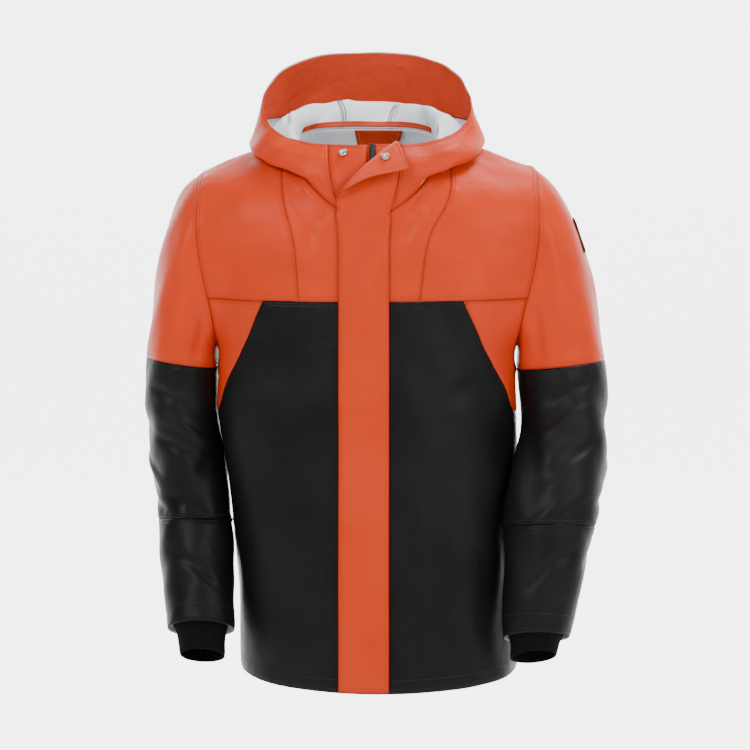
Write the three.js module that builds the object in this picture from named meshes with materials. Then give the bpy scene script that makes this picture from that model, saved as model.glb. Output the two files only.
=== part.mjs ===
// A hooded raincoat of coated cloth, filled out as on a wearer, with its hood down.
// Millimetres, +Z up, the front faces -Y. Right and left are the wearer's: the right sleeve is at -X.
// The origin is where the wearer's shoulders carry the coat, midway between the ends of the shoulder seams
// at the neck.
import * as THREE from "three";

// Driving sizes.
const CLOTH = 1.5; // wall of the coated cloth
const FLAP_CLOTH = 2.2; // the storm flap is two layers
const CUFF_CLOTH = 2;
const TRIM_CLOTH = 1.0; // facing, patches and binding
const SEAM_GAP = 0.3; // between sewn pieces
const NECK_GAP = 1.2; // the hood's own gaps, where it stands up from the neck seam
const LAY_GAP = 0.5; // between a panel and what lies on it
const CHEST_Z = -150; // above this level the panels curve over the shoulders
const HEM_SIDE_Z = -769;
const HEM_FRONT_DROP = 18;
const HEM_BACK_DROP = 12;
const SECTION_POWER = 0.75; // below 1 the front and back are flatter than an ellipse
const NECK_HALF = 97;
const NECK_SIDE_Z = -8;
const NECK_FRONT_Y = -119; // the neckline is cut out of the front at this depth
const NECK_SQUARE = 0.34; // below 1 it is squarer than an ellipse
const NECK_BACK = { y: 72, z: 3 };
const RIDGE_Y = 5; // the shoulder seam
const SHOULDER_DROP = 50; // from the neck to the end of the shoulder seam
const SHOULDER_TILT = 4; // the wearer's left shoulder is higher by twice this
const NECK_COLUMN = 0.345; // where the neckline meets the shoulder seam, across a half front
const TOP_TURN = 70; // degrees that the cloth turns through from chest level to the shoulder seam
const CENTRE_X = 1.6; // where the two fronts meet
const FLAP = { free: -38.5, sewn: 30.5, sewnAtRim: 46, reach: 0.997, roll: 4 }; // places across the front
const BODY_RISE = 637; // from the hem to chest level at the centre front
const CENTRE_TURN = 0.6; // where the fronts meet, in degrees round the neck
const BINDING = { from: 100, rows: [0.005, 0.014, 0.023], cloth: 1.8 }; // behind the neck, inside the hood
const TAB = { rows: [0.36, 0.52], first: 10, last: 12 }; // rows and facets of the left sleeve
const SNAP_GAP = 0.6;
const FLAP_LIFT = 5.4; // outer face of the flap off the fronts
const HOOD_EDGE = { right: -21.2, left: 17.5 }; // the hood's front edges, in degrees round the neck
const HOOD_CENTRE = 158; // the seams of the hood's centre panel
const HOOD_OUT = 0.65; // how far over the shoulders the hood's fold lies
const HOOD_DIP = { front: 0.85, back: 0.75 }; // how much of the fold's reach lies flat
const COLLAR = { bulge: 15, from: 31, to: 58 }; // near the front edges the hood stands straight up
const CENTRE_RISE = 24; // from chest level to the neck seam at the centre front
const COLLAR_RISE = 104; // from the neck seam to the rim at the centre front
const YOKE = 0.854; // heights as a share of hem to chest level
const WEDGE_TIP = 0.585; // the low point of the orange side of the front
const PIT = 0.7286; // the underarm point
const SLEEVE_CLEAR = 2; // between a sleeve and the body it hangs beside

// The cuff inside each sleeve: rows from the sleeve's hem, and how far inside the sleeve's face they lie.
const CUFF = [
  { row: -0.9, inset: 2 },
  { row: -0.5, inset: 4 },
  { row: 0, inset: 10 },
  { row: 0.35, inset: 13 },
  { row: 0.95, inset: 12 },
];
const SNAP = { half: 6.2, high: 2.6, stud: { x: -32, up: 92 }, socket: { at: 0.8, cell: 4 } };
const ZIP = { from: -1, to: 7, lean: 5, below: 6, high: 2.2 }; // across the front, up to below the rim

// The torso at each height: edge is the side seam or the armhole, turn is how far round it lies from the
// centre.
const TORSO = [
  { z: -800, edge: 201, shift: 19, turn: 90, front: 150, back: 128 },
  { z: -700, edge: 202, shift: 16, turn: 90, front: 148, back: 126 },
  { z: -600, edge: 203.5, shift: 14, turn: 90, front: 146, back: 124 },
  { z: -500, edge: 208, shift: 9, turn: 90, front: 144, back: 126 },
  { z: -400, edge: 215.5, shift: 1, turn: 90, front: 142, back: 131 },
  { z: -318, edge: 214, shift: 0, turn: 90, front: 138, back: 135 },
  { z: -290, edge: 216, shift: 0, turn: 74, front: 136, back: 137 },
  { z: -250, edge: 223, shift: 1, turn: 65, front: 132, back: 138 },
  { z: -200, edge: 235, shift: 1.5, turn: 60, front: 127, back: 138 },
  { z: -150, edge: 241, shift: 1, turn: 58, front: 121, back: 134 },
];

// The slanted seam between the black front and the side wedge: its distance from the middle at each height.
const WEDGE_SEAM = [
  { height: 0.585, right: 217, left: 218 },
  { height: 0.605, right: 210, left: 206 },
  { height: 0.648, right: 203, left: 198 },
  { height: 0.7, right: 190, left: 181 },
  { height: 0.764, right: 170, left: 160 },
  { height: 0.854, right: 144, left: 134.5 },
];

// Each sleeve from the colour seam to its hem: centre, half width and half depth.
const SLEEVES = {
  right: [
    { z: -334, x: -264, y: 6, wide: 54, deep: 76, tilt: 0, roll: 8 },
    { z: -388, x: -268, y: 6, wide: 54.5, deep: 74, tilt: 0, roll: 3 },
    { z: -431, x: -263, y: 6, wide: 54.5, deep: 72, tilt: 0, roll: 0 },
    { z: -475, x: -257, y: 5, wide: 54.5, deep: 70, tilt: 2, roll: 0 },
    { z: -518, x: -252, y: 0, wide: 54.5, deep: 67, tilt: 5, roll: 0 },
    { z: -560, x: -247.5, y: -13, wide: 54, deep: 62, tilt: 9, roll: 0 },
    { z: -602, x: -244, y: -30, wide: 53.5, deep: 57, tilt: 14, roll: 0 },
    { z: -643, x: -240.5, y: -49, wide: 52.5, deep: 53, tilt: 19, roll: 0 },
    { z: -671, x: -238.5, y: -62, wide: 50.5, deep: 50, tilt: 22, roll: 0 },
    { z: -708, x: -235, y: -80, wide: 47.5, deep: 47, tilt: 25, roll: 0 },
  ],
  left: [
    { z: -337, x: 277, y: 4, wide: 67, deep: 76, tilt: 0, roll: 6 },
    { z: -388, x: 284, y: -8, wide: 62.5, deep: 74, tilt: 2, roll: 2 },
    { z: -431, x: 281, y: -34, wide: 63, deep: 70, tilt: 6, roll: 0 },
    { z: -475, x: 270, y: -62, wide: 70, deep: 66, tilt: 9, roll: 0 },
    { z: -514, x: 262, y: -82, wide: 71, deep: 62, tilt: 10, roll: 0 },
    { z: -560, x: 256, y: -97, wide: 65, deep: 58, tilt: 12, roll: 0 },
    { z: -600, x: 251, y: -107, wide: 60, deep: 54, tilt: 15, roll: 0 },
    { z: -641, x: 245, y: -115, wide: 55.5, deep: 51, tilt: 17, roll: 0 },
    { z: -683, x: 241, y: -121, wide: 51, deep: 48, tilt: 19, roll: 0 },
    { z: -712, x: 236.5, y: -125, wide: 48, deep: 46, tilt: 20, roll: 0 },
  ],
};

// The hood lies down. Its rows run from the neck seam to the rim of the face opening. at is a row's place
// on the straight collar near the front edges. reach is how far a row lies from the neck seam to the hood's
// lower fold, lift is its distance off the shoulders and lean the slope of that lift, each for the front,
// the sides and the back.
const HOOD_ROWS = [
  { name: "seam", at: 0, reach: [0, 0, 0], lift: [0, 0, 0], lean: [60, 85, 80] },
  { name: "stand", at: 0.05, reach: [0.02, 0.01, 0.02], lift: [8, 18, 22], lean: [60, 85, 80] },
  { name: "crest", at: 0.12, reach: [0.35, 0.16, 0.12], lift: [10, 36, 52], lean: [40, 80, 75] },
  { name: "inner", at: 0.26, reach: [0.75, 0.6, 0.45], lift: [8, 16, 42], lean: [25, 75, 50] },
  { name: "fold", at: 0.4, reach: [1, 0.96, 1], lift: [8, 11, 26], lean: [15, 70, 18] },
  { name: "outer", at: 0.54, reach: [0.98, 0.99, 0.92], lift: [26, 13, 58], lean: [15, 65, 20] },
];
const HOOD_RINGS = [
  { name: "middle", at: 0.74, half: 160, y: [-141, 5, 180], z: [-66, 8, 28], round: [1, 1.2] },
  { name: "rim", at: 1, half: 151, y: [-99, 5, 134], z: [-26, 36, 118], round: [1.45, 1.25] },
];

// The top of the storm flap is turned back. Each row gives the place of the turn and of the free edge,
// across and above the neck seam, how much of the width is turned, and how far the free edge stands off.
const FLAP_TURN = [
  { at: 0, turnX: -38.5, turnUp: 8, edgeX: -38.5, edgeUp: 8, turned: 0, lift: 0 },
  { at: 0.15, turnX: -34, turnUp: 27, edgeX: -35, edgeUp: 22, turned: 0.12, lift: 6 },
  { at: 0.4, turnX: -14, turnUp: 56, edgeX: -22, edgeUp: 39, turned: 0.34, lift: 11 },
  { at: 0.7, turnX: 11, turnUp: 84, edgeX: 14, edgeUp: 55, turned: 0.54, lift: 14 },
  { at: 1, turnX: 38, turnUp: 106, edgeX: 48, edgeUp: 57, turned: 0.8, lift: 15 },
];

const clamp = (t) => Math.min(1, Math.max(0, t));
const lerp = (a, b, t) => a + (b - a) * t;
const smooth = (t) => clamp(t) * clamp(t) * (3 - 2 * clamp(t));
const rad = THREE.MathUtils.degToRad;
const vec = (x, y, z) => new THREE.Vector3(x, y, z);

// A smooth function through values at rising or falling keys, with no overshoot between them.
function through(keys, values) {
  const way = Math.sign(keys[1] - keys[0]);
  const slopes = keys.slice(1).map((key, i) => (values[i + 1] - values[i]) / (key - keys[i]));
  const tangents = keys.map((_, i) => {
    const [a, b] = [slopes[Math.max(0, i - 1)], slopes[Math.min(slopes.length - 1, i)]];
    return a * b <= 0 ? 0 : (2 * a * b) / (a + b);
  });
  return (at) => {
    let i = 0;
    while (i < slopes.length - 1 && (at - keys[i + 1]) * way > 0) i++;
    const step = keys[i + 1] - keys[i];
    const t = clamp((at - keys[i]) / step);
    const beyond = at - keys[i] - t * step;
    return (
      values[i] * (2 * t ** 3 - 3 * t ** 2 + 1) +
      tangents[i] * step * (t ** 3 - 2 * t ** 2 + t) +
      values[i + 1] * (3 * t ** 2 - 2 * t ** 3) +
      tangents[i + 1] * step * (t ** 3 - t ** 2) +
      beyond * tangents[t > 0 ? i + 1 : i]
    );
  };
}
const column = (rows, by, name) => through(rows.map((row) => row[by]), rows.map((row) => row[name]));
function columns(rows, by, names) {
  return Object.fromEntries(names.map((name) => [name, column(rows, by, name)]));
}
const torso = columns(TORSO, "z", ["edge", "shift", "turn", "front", "back"]);

// The level section of the torso: across is -1 at the right edge, 1 at the left; way is -1 in front and 1
// behind.
function section(across, z, way) {
  const turn = rad(torso.turn(z));
  const half = torso.edge(z) / Math.sin(turn);
  const angle = across * turn;
  const depth = way < 0 ? torso.front(z) : torso.back(z);
  const round = Math.max(0, Math.cos(angle)) ** SECTION_POWER;
  return vec(torso.shift(z) + half * Math.sin(angle), way * depth * round, z);
}

// How far across a front the place x lies at height z.
function acrossAt(x, z) {
  const turn = rad(torso.turn(z));
  return Math.asin(((x - torso.shift(z)) / torso.edge(z)) * Math.sin(turn)) / turn;
}

// The upper edge of the front or back: the shoulder seams and the neckline.
function topEdge(across, way) {
  const side = Math.sign(across) || 1;
  const out = Math.abs(across);
  if (out >= NECK_COLUMN) {
    const t = (out - NECK_COLUMN) / (1 - NECK_COLUMN);
    const end = section(side, CHEST_Z, way).x;
    const drop = SHOULDER_DROP * t ** 1.1 - side * SHOULDER_TILT * t;
    return vec(lerp(side * NECK_HALF, end - side * 2, t), RIDGE_Y, NECK_SIDE_Z - drop);
  }
  const angle = (out / NECK_COLUMN) * (Math.PI / 2);
  const near = Math.max(0, Math.cos(angle));
  const x = side * NECK_HALF * Math.sin(angle);
  if (way > 0) {
    return vec(x, lerp(RIDGE_Y, NECK_BACK.y, near), lerp(NECK_SIDE_Z, NECK_BACK.z, smooth(near)));
  }
  const y = lerp(RIDGE_Y, NECK_FRONT_Y, near ** NECK_SQUARE);
  const turn = rad(TOP_TURN);
  const level = (RIDGE_Y - y) / (RIDGE_Y - section(across, CHEST_Z, way).y);
  const bend = Math.acos(lerp(Math.cos(turn), 1, level));
  return vec(x, y, lerp(CHEST_Z, NECK_SIDE_Z, Math.sin(bend) / Math.sin(turn)));
}

// The torso's surface. height runs from 0 at the hem to 1 at chest level and 2 at the shoulder seam and
// neckline.
function torsoPoint(across, height, way) {
  if (height <= 1) {
    const drop = way < 0 ? HEM_FRONT_DROP : HEM_BACK_DROP;
    const hem = HEM_SIDE_Z - drop * Math.cos((across * Math.PI) / 2);
    return section(across, lerp(hem, CHEST_Z, height), way);
  }
  const low = section(across, CHEST_Z, way);
  const top = topEdge(across, way);
  const turn = rad(TOP_TURN);
  const angle = (height - 1) * turn;
  const level = (Math.cos(angle) - Math.cos(turn)) / (1 - Math.cos(turn));
  return vec(
    lerp(low.x, top.x, 1 - level),
    lerp(top.y, low.y, level),
    lerp(low.z, top.z, Math.sin(angle) / Math.sin(turn)),
  );
}
const front = (across, height) => torsoPoint(across, height, -1);
const back = (across, height) => torsoPoint(-across, height, 1);

// A place on the shoulders at an angle round the neck, 0 in front; reach runs from the neck seam to the
// lower fold.
function shoulderPoint(angle, reach) {
  const turn = angle > 180 ? angle - 360 : angle;
  const side = Math.sign(turn) || 1;
  const round = Math.abs(turn);
  const way = round < 90 ? -1 : 1;
  const from = way < 0 ? round : 180 - round;
  const out = lerp((from / 90) * NECK_COLUMN, HOOD_OUT * Math.sin(rad(from)), reach);
  const dip = way < 0 ? HOOD_DIP.front : HOOD_DIP.back;
  return torsoPoint(side * out, 2 - reach * dip * Math.max(0, Math.cos(rad(from))) ** 1.5, way);
}

// Blends the values for the front, the sides and the back.
function around([inFront, atSide, behind], turn) {
  const near = Math.cos(rad(turn));
  return near > 0 ? lerp(atSide, inFront, near) : lerp(atSide, behind, near * near);
}

// The hood's surface. turn is the angle round the neck in degrees, at runs from the neck seam to the rim.
function hoodPoint(angle, at) {
  const turn = angle > 180 ? angle - 360 : angle;
  const sine = Math.sin(rad(turn));
  const cosine = Math.cos(rad(turn));
  const near = Math.abs(cosine);
  const points = HOOD_ROWS.map((row) => {
    const lean = rad(around(row.lean, turn));
    const away = vec(sine * Math.cos(lean), -cosine * Math.cos(lean), Math.sin(lean));
    return shoulderPoint(turn, around(row.reach, turn)).addScaledVector(away, around(row.lift, turn));
  });
  for (const ring of HOOD_RINGS) {
    const end = cosine > 0 ? 0 : 2;
    const rise = 1 - (1 - near) ** ring.round[end / 2];
    const deep = lerp(ring.y[1], ring.y[end], near);
    points.push(vec(ring.half * sine, deep, lerp(ring.z[1], ring.z[end], rise)));
  }
  const straight = 1 - smooth((Math.abs(turn) - COLLAR.from) / (COLLAR.to - COLLAR.from));
  const rows = [...HOOD_ROWS, ...HOOD_RINGS];
  const [low, high] = [points[0].clone(), points[points.length - 1].clone()];
  const bulge = vec(sine, -cosine, 0).multiplyScalar(COLLAR.bulge);
  points.forEach((point, i) => {
    const t = rows[i].at;
    const collar = low.clone().lerp(high, t).addScaledVector(bulge, 4 * t * (1 - t));
    point.lerp(collar, straight);
  });
  const keys = rows.map((row) => row.at);
  const along = (axis) => through(keys, points.map((point) => point[axis]))(at);
  return vec(along("x"), along("y"), along("z"));
}

// The outward direction of a surface whose first argument runs to the left as seen from outside, its second
// up.
function outward(surface, a, b, step = 1e-3) {
  const da = surface(a + step, b).sub(surface(a - step, b));
  const db = surface(a, b + step).sub(surface(a, b - step));
  return da.cross(db).normalize();
}

// A closed body from a grid of outer points and one of inner points, open or closed round its columns.
// A mirrored panel has the diagonals of its facets the other way.
function wall(outer, inner, { closed = false, mirrored = false } = {}) {
  const rows = outer.length;
  const across = outer[0].length;
  const points = [...outer.flat(), ...inner.flat()];
  const at = (layer, i, j) => layer * rows * across + i * across + (j % across);
  const index = [];
  const quad = (a, b, c, d) => index.push(...(mirrored ? [a, b, d, b, c, d] : [a, b, c, a, c, d]));
  const last = closed ? across : across - 1;
  for (let i = 0; i < rows - 1; i++)
    for (let j = 0; j < last; j++) {
      quad(at(0, i, j), at(0, i, j + 1), at(0, i + 1, j + 1), at(0, i + 1, j));
      quad(at(1, i, j), at(1, i + 1, j), at(1, i + 1, j + 1), at(1, i, j + 1));
    }
  for (let j = 0; j < last; j++) {
    quad(at(0, 0, j), at(1, 0, j), at(1, 0, j + 1), at(0, 0, j + 1));
    quad(at(0, rows - 1, j), at(0, rows - 1, j + 1), at(1, rows - 1, j + 1), at(1, rows - 1, j));
  }
  if (!closed)
    for (let i = 0; i < rows - 1; i++) {
      quad(at(0, i, 0), at(0, i + 1, 0), at(1, i + 1, 0), at(1, i, 0));
      quad(at(0, i, last), at(1, i, last), at(1, i + 1, last), at(0, i + 1, last));
    }
  const geometry = new THREE.BufferGeometry();
  const flat = points.flatMap((p) => p.toArray());
  geometry.setAttribute("position", new THREE.Float32BufferAttribute(flat, 3));
  geometry.setIndex(index);
  geometry.computeVertexNormals();
  return geometry;
}

// Draws the edges of a grid in by half a seam gap, on the sides that are sewn.
function drawIn(grid, sewn, gap = SEAM_GAP) {
  const pull = (p, q) => p.add(q.clone().sub(p).setLength(gap / 2));
  const n = grid.length - 1;
  const m = grid[0].length - 1;
  if (sewn.includes("low")) grid[0].forEach((p, j) => pull(p, grid[1][j]));
  if (sewn.includes("high")) grid[n].forEach((p, j) => pull(p, grid[n - 1][j]));
  if (sewn.includes("start")) grid.forEach((row) => pull(row[0], row[1]));
  if (sewn.includes("end")) grid.forEach((row) => pull(row[m], row[m - 1]));
}

// A panel of cloth on a surface. Each place is a function of the row, in order; lift moves the panel off
// the surface.
function panel(surface, rows, places, options = {}) {
  const { sewn = [], lift = 0, cloth = CLOTH, gap = SEAM_GAP } = options;
  const { normal = outward, mirrored = false } = options;
  const at = (across, row, off) =>
    surface(across, row).addScaledVector(normal(surface, across, row), off);
  const layer = (off) => rows.map((row) => places.map((place) => at(place(row), row, off)));
  const [outer, inner] = [layer(lift), layer(lift - cloth)];
  drawIn(outer, sewn, gap);
  drawIn(inner, sewn, gap);
  return wall(outer, inner, { mirrored });
}

// Places between two others, each a function of the row.
const between = (a, b, cells) =>
  Array.from({ length: cells + 1 }, (_, k) => (row) => lerp(a(row), b(row), k / cells));
const steps = (a, b, cells) => Array.from({ length: cells + 1 }, (_, k) => lerp(a, b, k / cells));
const fixed = (value) => () => value;

const finish = (name, color, roughness, metalness = 0) =>
  new THREE.MeshStandardMaterial({ name, color, roughness, metalness });
const orange = finish("orange_cloth", 0xd2603a, 0.45);
const black = finish("black_cloth", 0x232323, 0.5);
const knit = finish("black_knit", 0x0b0b0b, 0.9);
const steel = finish("steel", 0xc9c4b8, 0.25, 1);
const teeth = finish("zip_plastic", 0x16181c, 0.4);

const coat = new THREE.Group();
function add(name, geometry, material) {
  const mesh = new THREE.Mesh(geometry, material);
  mesh.name = name;
  coat.add(mesh);
  return mesh;
}

// Heights shared by the fronts, the back and the armholes, so that they meet facet to facet.
const BODY_HEIGHTS = [...steps(0, WEDGE_TIP, 7), 0.595, 0.608, 0.63, 0.66, 0.69, PIT, 0.77, 0.81, YOKE];
const YOKE_HEIGHTS = [YOKE, 0.925, 1, ...steps(1, 2, 6).slice(1)];
const WEDGE_HEIGHTS = BODY_HEIGHTS.filter((height) => height > WEDGE_TIP);
const ARM_HEIGHTS = [...BODY_HEIGHTS, ...YOKE_HEIGHTS.slice(1)].filter((height) => height >= PIT);

// The place of a level x on the fronts, by height.
const atX = (x) => (height) => acrossAt(x, height <= 1 ? torsoPoint(0, height, -1).z : CHEST_Z);
const centre = atX(CENTRE_X);
const YOKE_Z = torsoPoint(0, YOKE, -1).z;
function seamX(low, high) {
  return (height) => lerp(acrossAt(low, YOKE_Z), acrossAt(high, CHEST_Z), smooth((height - YOKE) / 0.5));
}
const innerSeams = { right: seamX(-94, -119), left: seamX(74, 119) };
const NECK_CORNER = 0.86; // below the neckline its corner column stays inside the seam, at this share of it

function wedgeEdge(name, sign) {
  const seam = column(WEDGE_SEAM, "height", name);
  return (height) => {
    const z = torsoPoint(0.8, height, -1).z;
    const beyond = (sign * seam(height) - torso.shift(z)) / torso.edge(z);
    return height <= WEDGE_TIP || Math.abs(beyond) >= 1 ? sign : acrossAt(sign * seam(height), z);
  };
}

// The neckline is divided alike in the body and in the hood.
const turnAcross = (turn) => (turn / 90) * NECK_COLUMN;
const NECK_CELLS = { band: 2, side: 8, nape: 6, centre: 4 };

function addFront(name, sign) {
  const inOrder = (places) => (sign < 0 ? places.slice().reverse() : places);
  const sides = { inner: sign < 0 ? "end" : "start", outer: sign < 0 ? "start" : "end" };
  const edge = wedgeEdge(name, sign);
  const inner = innerSeams[name];
  const body = inOrder(between(centre, edge, 9));
  const wedge = inOrder(between(edge, fixed(sign), 3));
  const hoodEdge = fixed(turnAcross(HOOD_EDGE[name]));
  const corner = (height) => sign * Math.min(NECK_COLUMN, NECK_CORNER * Math.abs(inner(height)));
  const neckSide = between(hoodEdge, corner, NECK_CELLS.side).slice(1);
  const neck = inOrder([...between(centre, hoodEdge, NECK_CELLS.band), ...neckSide, inner]);
  const chest = inOrder(between(inner, fixed(sign), 7));
  const below = { sewn: ["high", sides.inner, sides.outer], mirrored: sign < 0 };
  const wedgeOptions = { ...below, normal: bodyNormal };
  const above = { ...wedgeOptions, sewn: ["low", ...below.sewn] };
  add("front_body_" + name, panel(front, BODY_HEIGHTS, body, below), black);
  add("front_wedge_" + name, panel(front, WEDGE_HEIGHTS, wedge, wedgeOptions), orange);
  add("front_neck_panel_" + name, panel(front, YOKE_HEIGHTS, neck, above), orange);
  add("front_chest_" + name, panel(front, YOKE_HEIGHTS, chest, above), orange);
}

// A patch inside the neck follows the facets of the back; the wearer's left comes first.
const PATCH_CELLS = { first: 11, last: 15 };
const BACK_CELLS = { shoulder: 6, below: 16 };
function addBack() {
  const nape = turnAcross(180 - HOOD_CENTRE);
  const half = [
    ...steps(-1, -NECK_COLUMN, BACK_CELLS.shoulder),
    ...steps(-NECK_COLUMN, -nape, NECK_CELLS.nape).slice(1),
    ...steps(-nape, 0, NECK_CELLS.centre / 2).slice(1),
  ];
  const places = [...half, ...half.slice(0, -1).reverse().map((across) => -across)].map(fixed);
  const below = between(fixed(-1), fixed(1), BACK_CELLS.below);
  const body = { sewn: ["high", "start", "end"], normal: bodyNormal };
  add("back_body", panel(back, BODY_HEIGHTS, below, body), black);
  const yoke = { sewn: ["low", "high", "start", "end"], normal: bodyNormal };
  add("back_yoke", panel(back, YOKE_HEIGHTS, places, yoke), orange);
  const inside = { lift: -CLOTH - LAY_GAP, cloth: TRIM_CLOTH, sewn: ["high"] };
  const patch = places.slice(PATCH_CELLS.first, PATCH_CELLS.last + 1);
  add("neck_patch", panel(back, YOKE_HEIGHTS.slice(-3), patch, inside), orange);
}

// The armhole runs from the pit up the front to the shoulder, then down the back; place goes from 0 to 2.
function armhole(sign, place) {
  const way = place <= 1 ? -1 : 1;
  const up = (place <= 1 ? place : 2 - place) * (ARM_HEIGHTS.length - 1);
  const low = Math.min(ARM_HEIGHTS.length - 2, Math.floor(up));
  const height = lerp(ARM_HEIGHTS[low], ARM_HEIGHTS[low + 1], up - low);
  return { height, way, point: torsoPoint(sign, height, way) };
}

// Keeps a point of a sleeve clear of the torso's side.
function clearOfTorso(point, gap) {
  const turn = rad(torso.turn(point.z));
  const half = torso.edge(point.z) / Math.sin(turn) + gap;
  const depth = (point.y < 0 ? torso.front(point.z) : torso.back(point.z)) + gap;
  const shift = torso.shift(point.z);
  const clear = point.clone();
  for (let tries = 0; tries < 6; tries++) {
    const room = ((clear.x - shift) / half) ** 2 + (Math.abs(clear.y) / depth) ** (2 / SECTION_POWER);
    if (room >= 1) return clear;
    clear.x = shift + (clear.x - shift) / Math.sqrt(room);
    clear.y /= room ** 0.3;
  }
  return clear;
}

// A ring of a sleeve: place as round the armhole, level a row of the sleeve's table.
function sleeveRing(sleeve, sign, place, level) {
  const turn = place * Math.PI;
  const tilt = rad(sleeve.tilt(level));
  const roll = rad(sleeve.roll(level));
  const out = -Math.cos(turn) * sleeve.wide(level);
  const ahead = Math.sin(turn) * sleeve.deep(level);
  return vec(
    sleeve.x(level) + sign * out * Math.cos(roll),
    sleeve.y(level) - ahead * Math.cos(tilt),
    sleeve.z(level) + ahead * Math.sin(tilt) + out * Math.sin(roll),
  );
}

// The sleeve's surface: at runs from 0 at the armhole to 1 at the colour seam, then by rows of the table.
function sleeveSurface(name, sign) {
  const rows = SLEEVES[name].map((row, level) => ({ ...row, level }));
  const sleeve = columns(rows, "level", ["z", "x", "y", "wide", "deep", "tilt", "roll"]);
  return (placeOut, at) => {
    const place = (((sign > 0 ? placeOut : 2 - placeOut) % 2) + 2) % 2;
    if (at >= 1) {
      const point = sleeveRing(sleeve, sign, place, at - 1);
      return clearOfTorso(point, SLEEVE_CLEAR);
    }
    const start = armhole(sign, place).point;
    const end = clearOfTorso(sleeveRing(sleeve, sign, place, 0), SLEEVE_CLEAR);
    const length = start.distanceTo(end);
    const high = (1 - Math.cos(place * Math.PI)) / 2;
    const leave = vec(sign * lerp(0.5, 1, high), 0, lerp(-1, -0.42, high));
    leave.setLength(length * lerp(0.6, 0.75, high));
    const arrive = vec(sign * 0.16 * high, 0, -1).setLength(length);
    const [t2, t3] = [at * at, at * at * at];
    const point = start.clone().multiplyScalar(2 * t3 - 3 * t2 + 1);
    point.addScaledVector(leave, t3 - 2 * t2 + at);
    point.addScaledVector(end, 3 * t2 - 2 * t3);
    point.addScaledVector(arrive, t3 - t2);
    return point.z < -300 ? clearOfTorso(point, SLEEVE_CLEAR * smooth(at * 3)) : point;
  };
}
const sleeves = { right: sleeveSurface("right", -1), left: sleeveSurface("left", 1) };

// Where pieces meet in a ridge their cloth is mitred: all use the mean of their outward directions.
function mitre(own, others) {
  const mean = others.reduce((sum, normal) => sum.add(normal), own.clone()).normalize();
  return mean.multiplyScalar(1 / Math.max(0.6, mean.dot(own)));
}

// Directions at an edge are taken a little inside it.
const INSIDE = 0.999;
const NEAR_RIDGE = 1.98;

// The cloth's direction at the armhole, for the body or for the sleeve.
function armholeNormal(sign, place, ofBody) {
  const { height, way, point } = armhole(sign, place);
  const sleeve = sleeves[sign < 0 ? "right" : "left"];
  const round = sign > 0 ? place : 2 - place;
  const body = [outward(way < 0 ? front : back, sign * way * -INSIDE, Math.min(height, NEAR_RIDGE))];
  if (place === 1) body.push(outward(back, sign * -INSIDE, NEAR_RIDGE));
  const arm = outward((a, b) => sleeve(a, -b), round, -0.02);
  const leaves = sleeve(round, 0.1).sub(point);
  const own = ofBody ? body[0] : arm;
  return leaves.dot(body[0]) > 0 && place !== 1 ? own : mitre(own, ofBody ? [arm, ...body.slice(1)] : body);
}

// The direction of a body panel's cloth, shared with its neighbour at the shoulder seam and the armhole.
function bodyNormal(surface, across, height) {
  const side = Math.sign(surface(across, height).x);
  if (Math.abs(across) > 0.9999 && height > PIT - 1e-6) {
    const up = ARM_HEIGHTS.findIndex((row) => row >= height - 1e-6) / (ARM_HEIGHTS.length - 1);
    return armholeNormal(side, surface === front ? up : 2 - up, true);
  }
  const inside = across * INSIDE;
  if (height < 1.9999 || Math.abs(across) < NECK_COLUMN) return outward(surface, inside, height);
  const other = surface === front ? back : front;
  return mitre(outward(surface, inside, NEAR_RIDGE), [outward(other, -inside, NEAR_RIDGE)]);
}

// A tube of cloth round a surface, whose places close on themselves.
function tube(surface, rows, places, { sewn = [], lift = 0, cloth = CLOTH, normal = outward } = {}) {
  const layer = (off) =>
    rows.map((row) =>
      places.map((place) => surface(place, row).addScaledVector(normal(surface, place, row), off)),
    );
  const [outer, inner] = [layer(lift), layer(lift - cloth)];
  drawIn(outer, sewn);
  drawIn(inner, sewn);
  return wall(outer, inner, { closed: true });
}

const SLEEVE_LAST = SLEEVES.right.length;
const FOREARM_SEAM = 6;
const SLEEVE_CELLS = 2 * (ARM_HEIGHTS.length - 1);
const sleevePlaces = steps(0, 2, SLEEVE_CELLS).slice(0, SLEEVE_CELLS);
const TOP_ROWS = [0, 0.08, 0.2, 0.36, 0.52, 0.68, 0.84, 1];
function addSleeve(name, sign) {
  const surface = (a, b) => sleeves[name](a, -b);
  const upward = (list) => list.map((at) => -at).reverse();
  const atArmhole = (a) => armholeNormal(sign, sign > 0 ? a : (2 - a) % 2, false);
  const normal = (here, a, b) => (b > -1e-6 ? atArmhole(a) : outward(here, a, b));
  const top = tube(surface, upward(TOP_ROWS), sleevePlaces, { sewn: ["low", "high"], normal });
  const arm = tube(surface, upward(steps(1, FOREARM_SEAM, 9)), sleevePlaces, { sewn: ["low", "high"] });
  const lowRows = upward(steps(FOREARM_SEAM, SLEEVE_LAST, 6));
  const forearm = tube(surface, lowRows, sleevePlaces, { sewn: ["high"] });
  add("sleeve_top_" + name, top, orange);
  add("sleeve_arm_" + name, arm, black);
  add("sleeve_forearm_" + name, forearm, black);
  addCuff(name);
}

// The knitted cuff is sewn inside the end of the sleeve and stands out of it.
function addCuff(name) {
  const inset = column(CUFF, "row", "inset");
  const sleeve = (a, b) => sleeves[name](a, -b);
  const surface = (a, b) => sleeve(a, b).addScaledVector(outward(sleeve, a, b), -inset(-b - SLEEVE_LAST));
  const rows = CUFF.map((row) => -SLEEVE_LAST - row.row).reverse();
  add("cuff_" + name, tube(surface, rows, sleevePlaces, { cloth: CUFF_CLOTH }), knit);
}

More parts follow.
